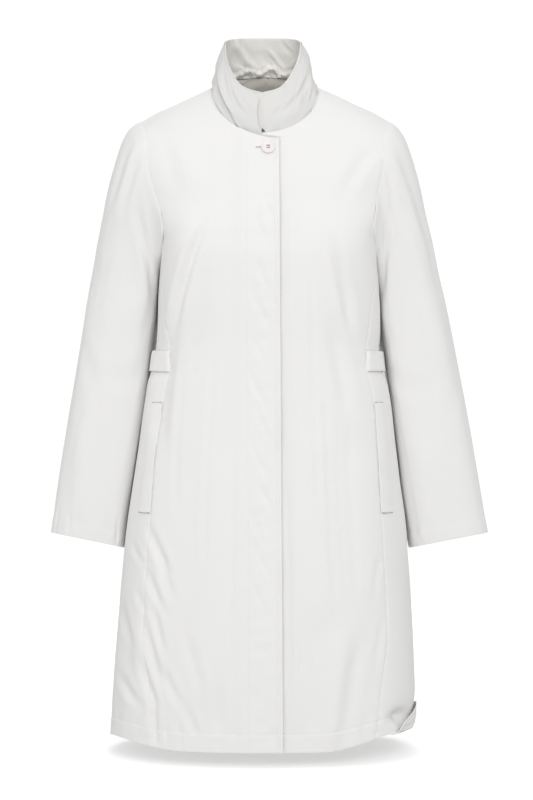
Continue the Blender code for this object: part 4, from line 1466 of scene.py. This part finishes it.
button_mesh = turned_mesh("button_turned", BUTTON_PROFILE, BUTTON_STEPS)
button = smooth_piece("button_turned", button_mesh, button_look)
button.matrix_world = button_place
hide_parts("button")
hole_profile = ((0.0, -HOLE_REACH), (HOLE_RADIUS, -HOLE_REACH), (HOLE_RADIUS, HOLE_REACH), (0.0, HOLE_REACH))
hole_mesh = turned_mesh("button_holes", hole_profile, HOLE_SIDES)
shape = bmesh.new()
for across in (-HOLE_OFFSET, HOLE_OFFSET):
    for up in (-HOLE_OFFSET, HOLE_OFFSET):
        first = len(shape.verts)
        shape.from_mesh(hole_mesh)
        shape.verts.ensure_lookup_table()
        bmesh.ops.translate(shape, verts=shape.verts[first:], vec=(across, up, 0.0))
shape.to_mesh(hole_mesh)
shape.free()
cutter = bpy.data.objects.new("button_holes", hole_mesh)
bpy.context.scene.collection.objects.link(cutter)
cutter.matrix_world = button_place
holes = button.modifiers.new("holes", "BOOLEAN")
holes.operation = "DIFFERENCE"
holes.solver = "EXACT"
holes.object = cutter
bpy.context.view_layer.update()
shown = bpy.data.meshes.new_from_object(button.evaluated_get(bpy.context.evaluated_depsgraph_get()))
button.modifiers.clear()
button.data = shown
bpy.data.objects.remove(cutter, do_unlink=True)


def on_button(right, up, out):
    return button_spot + button_right * right + button_up * up + button_out * out


def across_button(start, end, up, out):
    """Both ends of a level line at the button."""
    return on_button(start, up, out), on_button(end, up, out)


THREAD_OUT = 0.0025
threads = [across_button(-HOLE_OFFSET, HOLE_OFFSET, up, THREAD_OUT) for up in (-HOLE_OFFSET, HOLE_OFFSET)]
rods("button_thread", threads, THREAD_RADIUS, tack_and_shade_look)

# Tacks hold the ends of the pocket welts. Their dark colour is painted shade where the welt ends stand proud.
TACK_RADIUS = 0.0006
for name, ends in welt_ends.items():
    rods("pocket_welt_" + name + "_shade_tacks", ends, TACK_RADIUS, tack_and_shade_look)

# The slit shows beside the button, between two rows of close stitches. It is a dark rod, painted shade in the
# opening.
SLIT_START = -0.0178
SLIT_END = -0.0112
SLIT_OUT = -BUTTON_CLEAR
SLIT_RADIUS = 0.0005
SLIT_EDGE = 0.0010
SLIT_EDGE_RADIUS = 0.0006
rods("buttonhole_shade_slit", [across_button(SLIT_START, SLIT_END, 0.0, SLIT_OUT)], SLIT_RADIUS, slit_shade_look)
edges = [across_button(SLIT_START, SLIT_END, up, SLIT_OUT) for up in (-SLIT_EDGE, SLIT_EDGE)]
rods("buttonhole_edge", edges, SLIT_EDGE_RADIUS, thread_look)

# Floor, light and camera
CAMERA_DISTANCE = 3.0
CAMERA_HEIGHT = -0.4695
CAMERA_X = 0.0015
LENS = 90.0
SENSOR = 36.0
WORLD_STRENGTH = 0.60
FLOOR_BELOW = 0.021
FLOOR_Z = HEM_Z - FLOOR_BELOW
FLOOR_HALF = 6.0
FLOOR_START_Y = -4.0
FLOOR_END_Y = 2.2
BACKDROP_Y = 9.0
BACKDROP_TOP = 4.0
# name, place, target, size, power
LIGHTS = (
    ("key", (0.8, -2.9, 0.8), (0.0, 0.0, -0.40), (1.2, 1.2), 25.3),
    ("fill", (-1.1, -2.8, 0.2), (0.0, 0.0, -0.50), (1.6, 1.6), 16.0),
    ("top", (0.0, -0.7, 2.0), (0.0, -0.1, -0.9), (2.6, 2.0), 9.6),
    ("back", (0.0, 2.3, 1.2), (0.0, 0.1, -0.5), (1.4, 1.4), 26.0),
    ("low", (-1.9, -0.7, -0.80), (-0.2, -0.05, -0.82), (0.5, 0.5), 2.8),
    ("low", (1.9, -0.7, -0.80), (0.2, -0.05, -0.82), (0.5, 0.5), 2.8),
)


def card(name, near, far, look):
    """A rectangle of the stage between two level edges, each given by its y and height."""
    corners = [(-FLOOR_HALF, *near), (FLOOR_HALF, *near), (FLOOR_HALF, *far), (-FLOOR_HALF, *far)]
    mesh = bpy.data.meshes.new(name)
    mesh.from_pydata(corners, [], [(0, 1, 2, 3)])
    mesh.materials.append(look)
    piece = bpy.data.objects.new(name, mesh)
    bpy.context.scene.collection.objects.link(piece)
    piece.visible_diffuse = False


floor_look = plain_look("floor", (0.80, 0.80, 0.80), 1.0, 0.42, 0.0)
backdrop_look = plain_look("backdrop", (0.0, 0.0, 0.0), 1.0, 1.05, 0.0)
card("floor", (FLOOR_START_Y, FLOOR_Z), (FLOOR_END_Y, FLOOR_Z), floor_look)
card("far_floor", (FLOOR_END_Y, FLOOR_Z), (BACKDROP_Y, FLOOR_Z), backdrop_look)
card("backdrop", (BACKDROP_Y, FLOOR_Z), (BACKDROP_Y, BACKDROP_TOP), backdrop_look)

for name, place, target, size, power in LIGHTS:
    data = bpy.data.lights.new(name, "AREA")
    data.shape = "RECTANGLE"
    data.size, data.size_y = size
    data.energy = power
    light = bpy.data.objects.new(name, data)
    light.location = place
    light.rotation_euler = (Vector(target) - Vector(place)).to_track_quat("-Z", "Y").to_euler()
    bpy.context.scene.collection.objects.link(light)

world = bpy.data.worlds.new("studio")
world.use_nodes = True
fill(world.node_tree.nodes["Background"], Color=(1.0, 1.0, 1.0, 1.0), Strength=WORLD_STRENGTH)
bpy.context.scene.world = world
bpy.context.scene.view_settings.view_transform = "Standard"

camera_data = bpy.data.cameras.new("camera")
camera_data.lens = LENS
camera_data.sensor_width = SENSOR
camera_data.sensor_fit = "AUTO"
camera = bpy.data.objects.new("camera", camera_data)
camera.location = (CAMERA_X, -CAMERA_DISTANCE, CAMERA_HEIGHT)
camera.rotation_euler = (math.pi / 2, 0.0, 0.0)
bpy.context.scene.collection.objects.link(camera)
bpy.context.scene.camera = camera
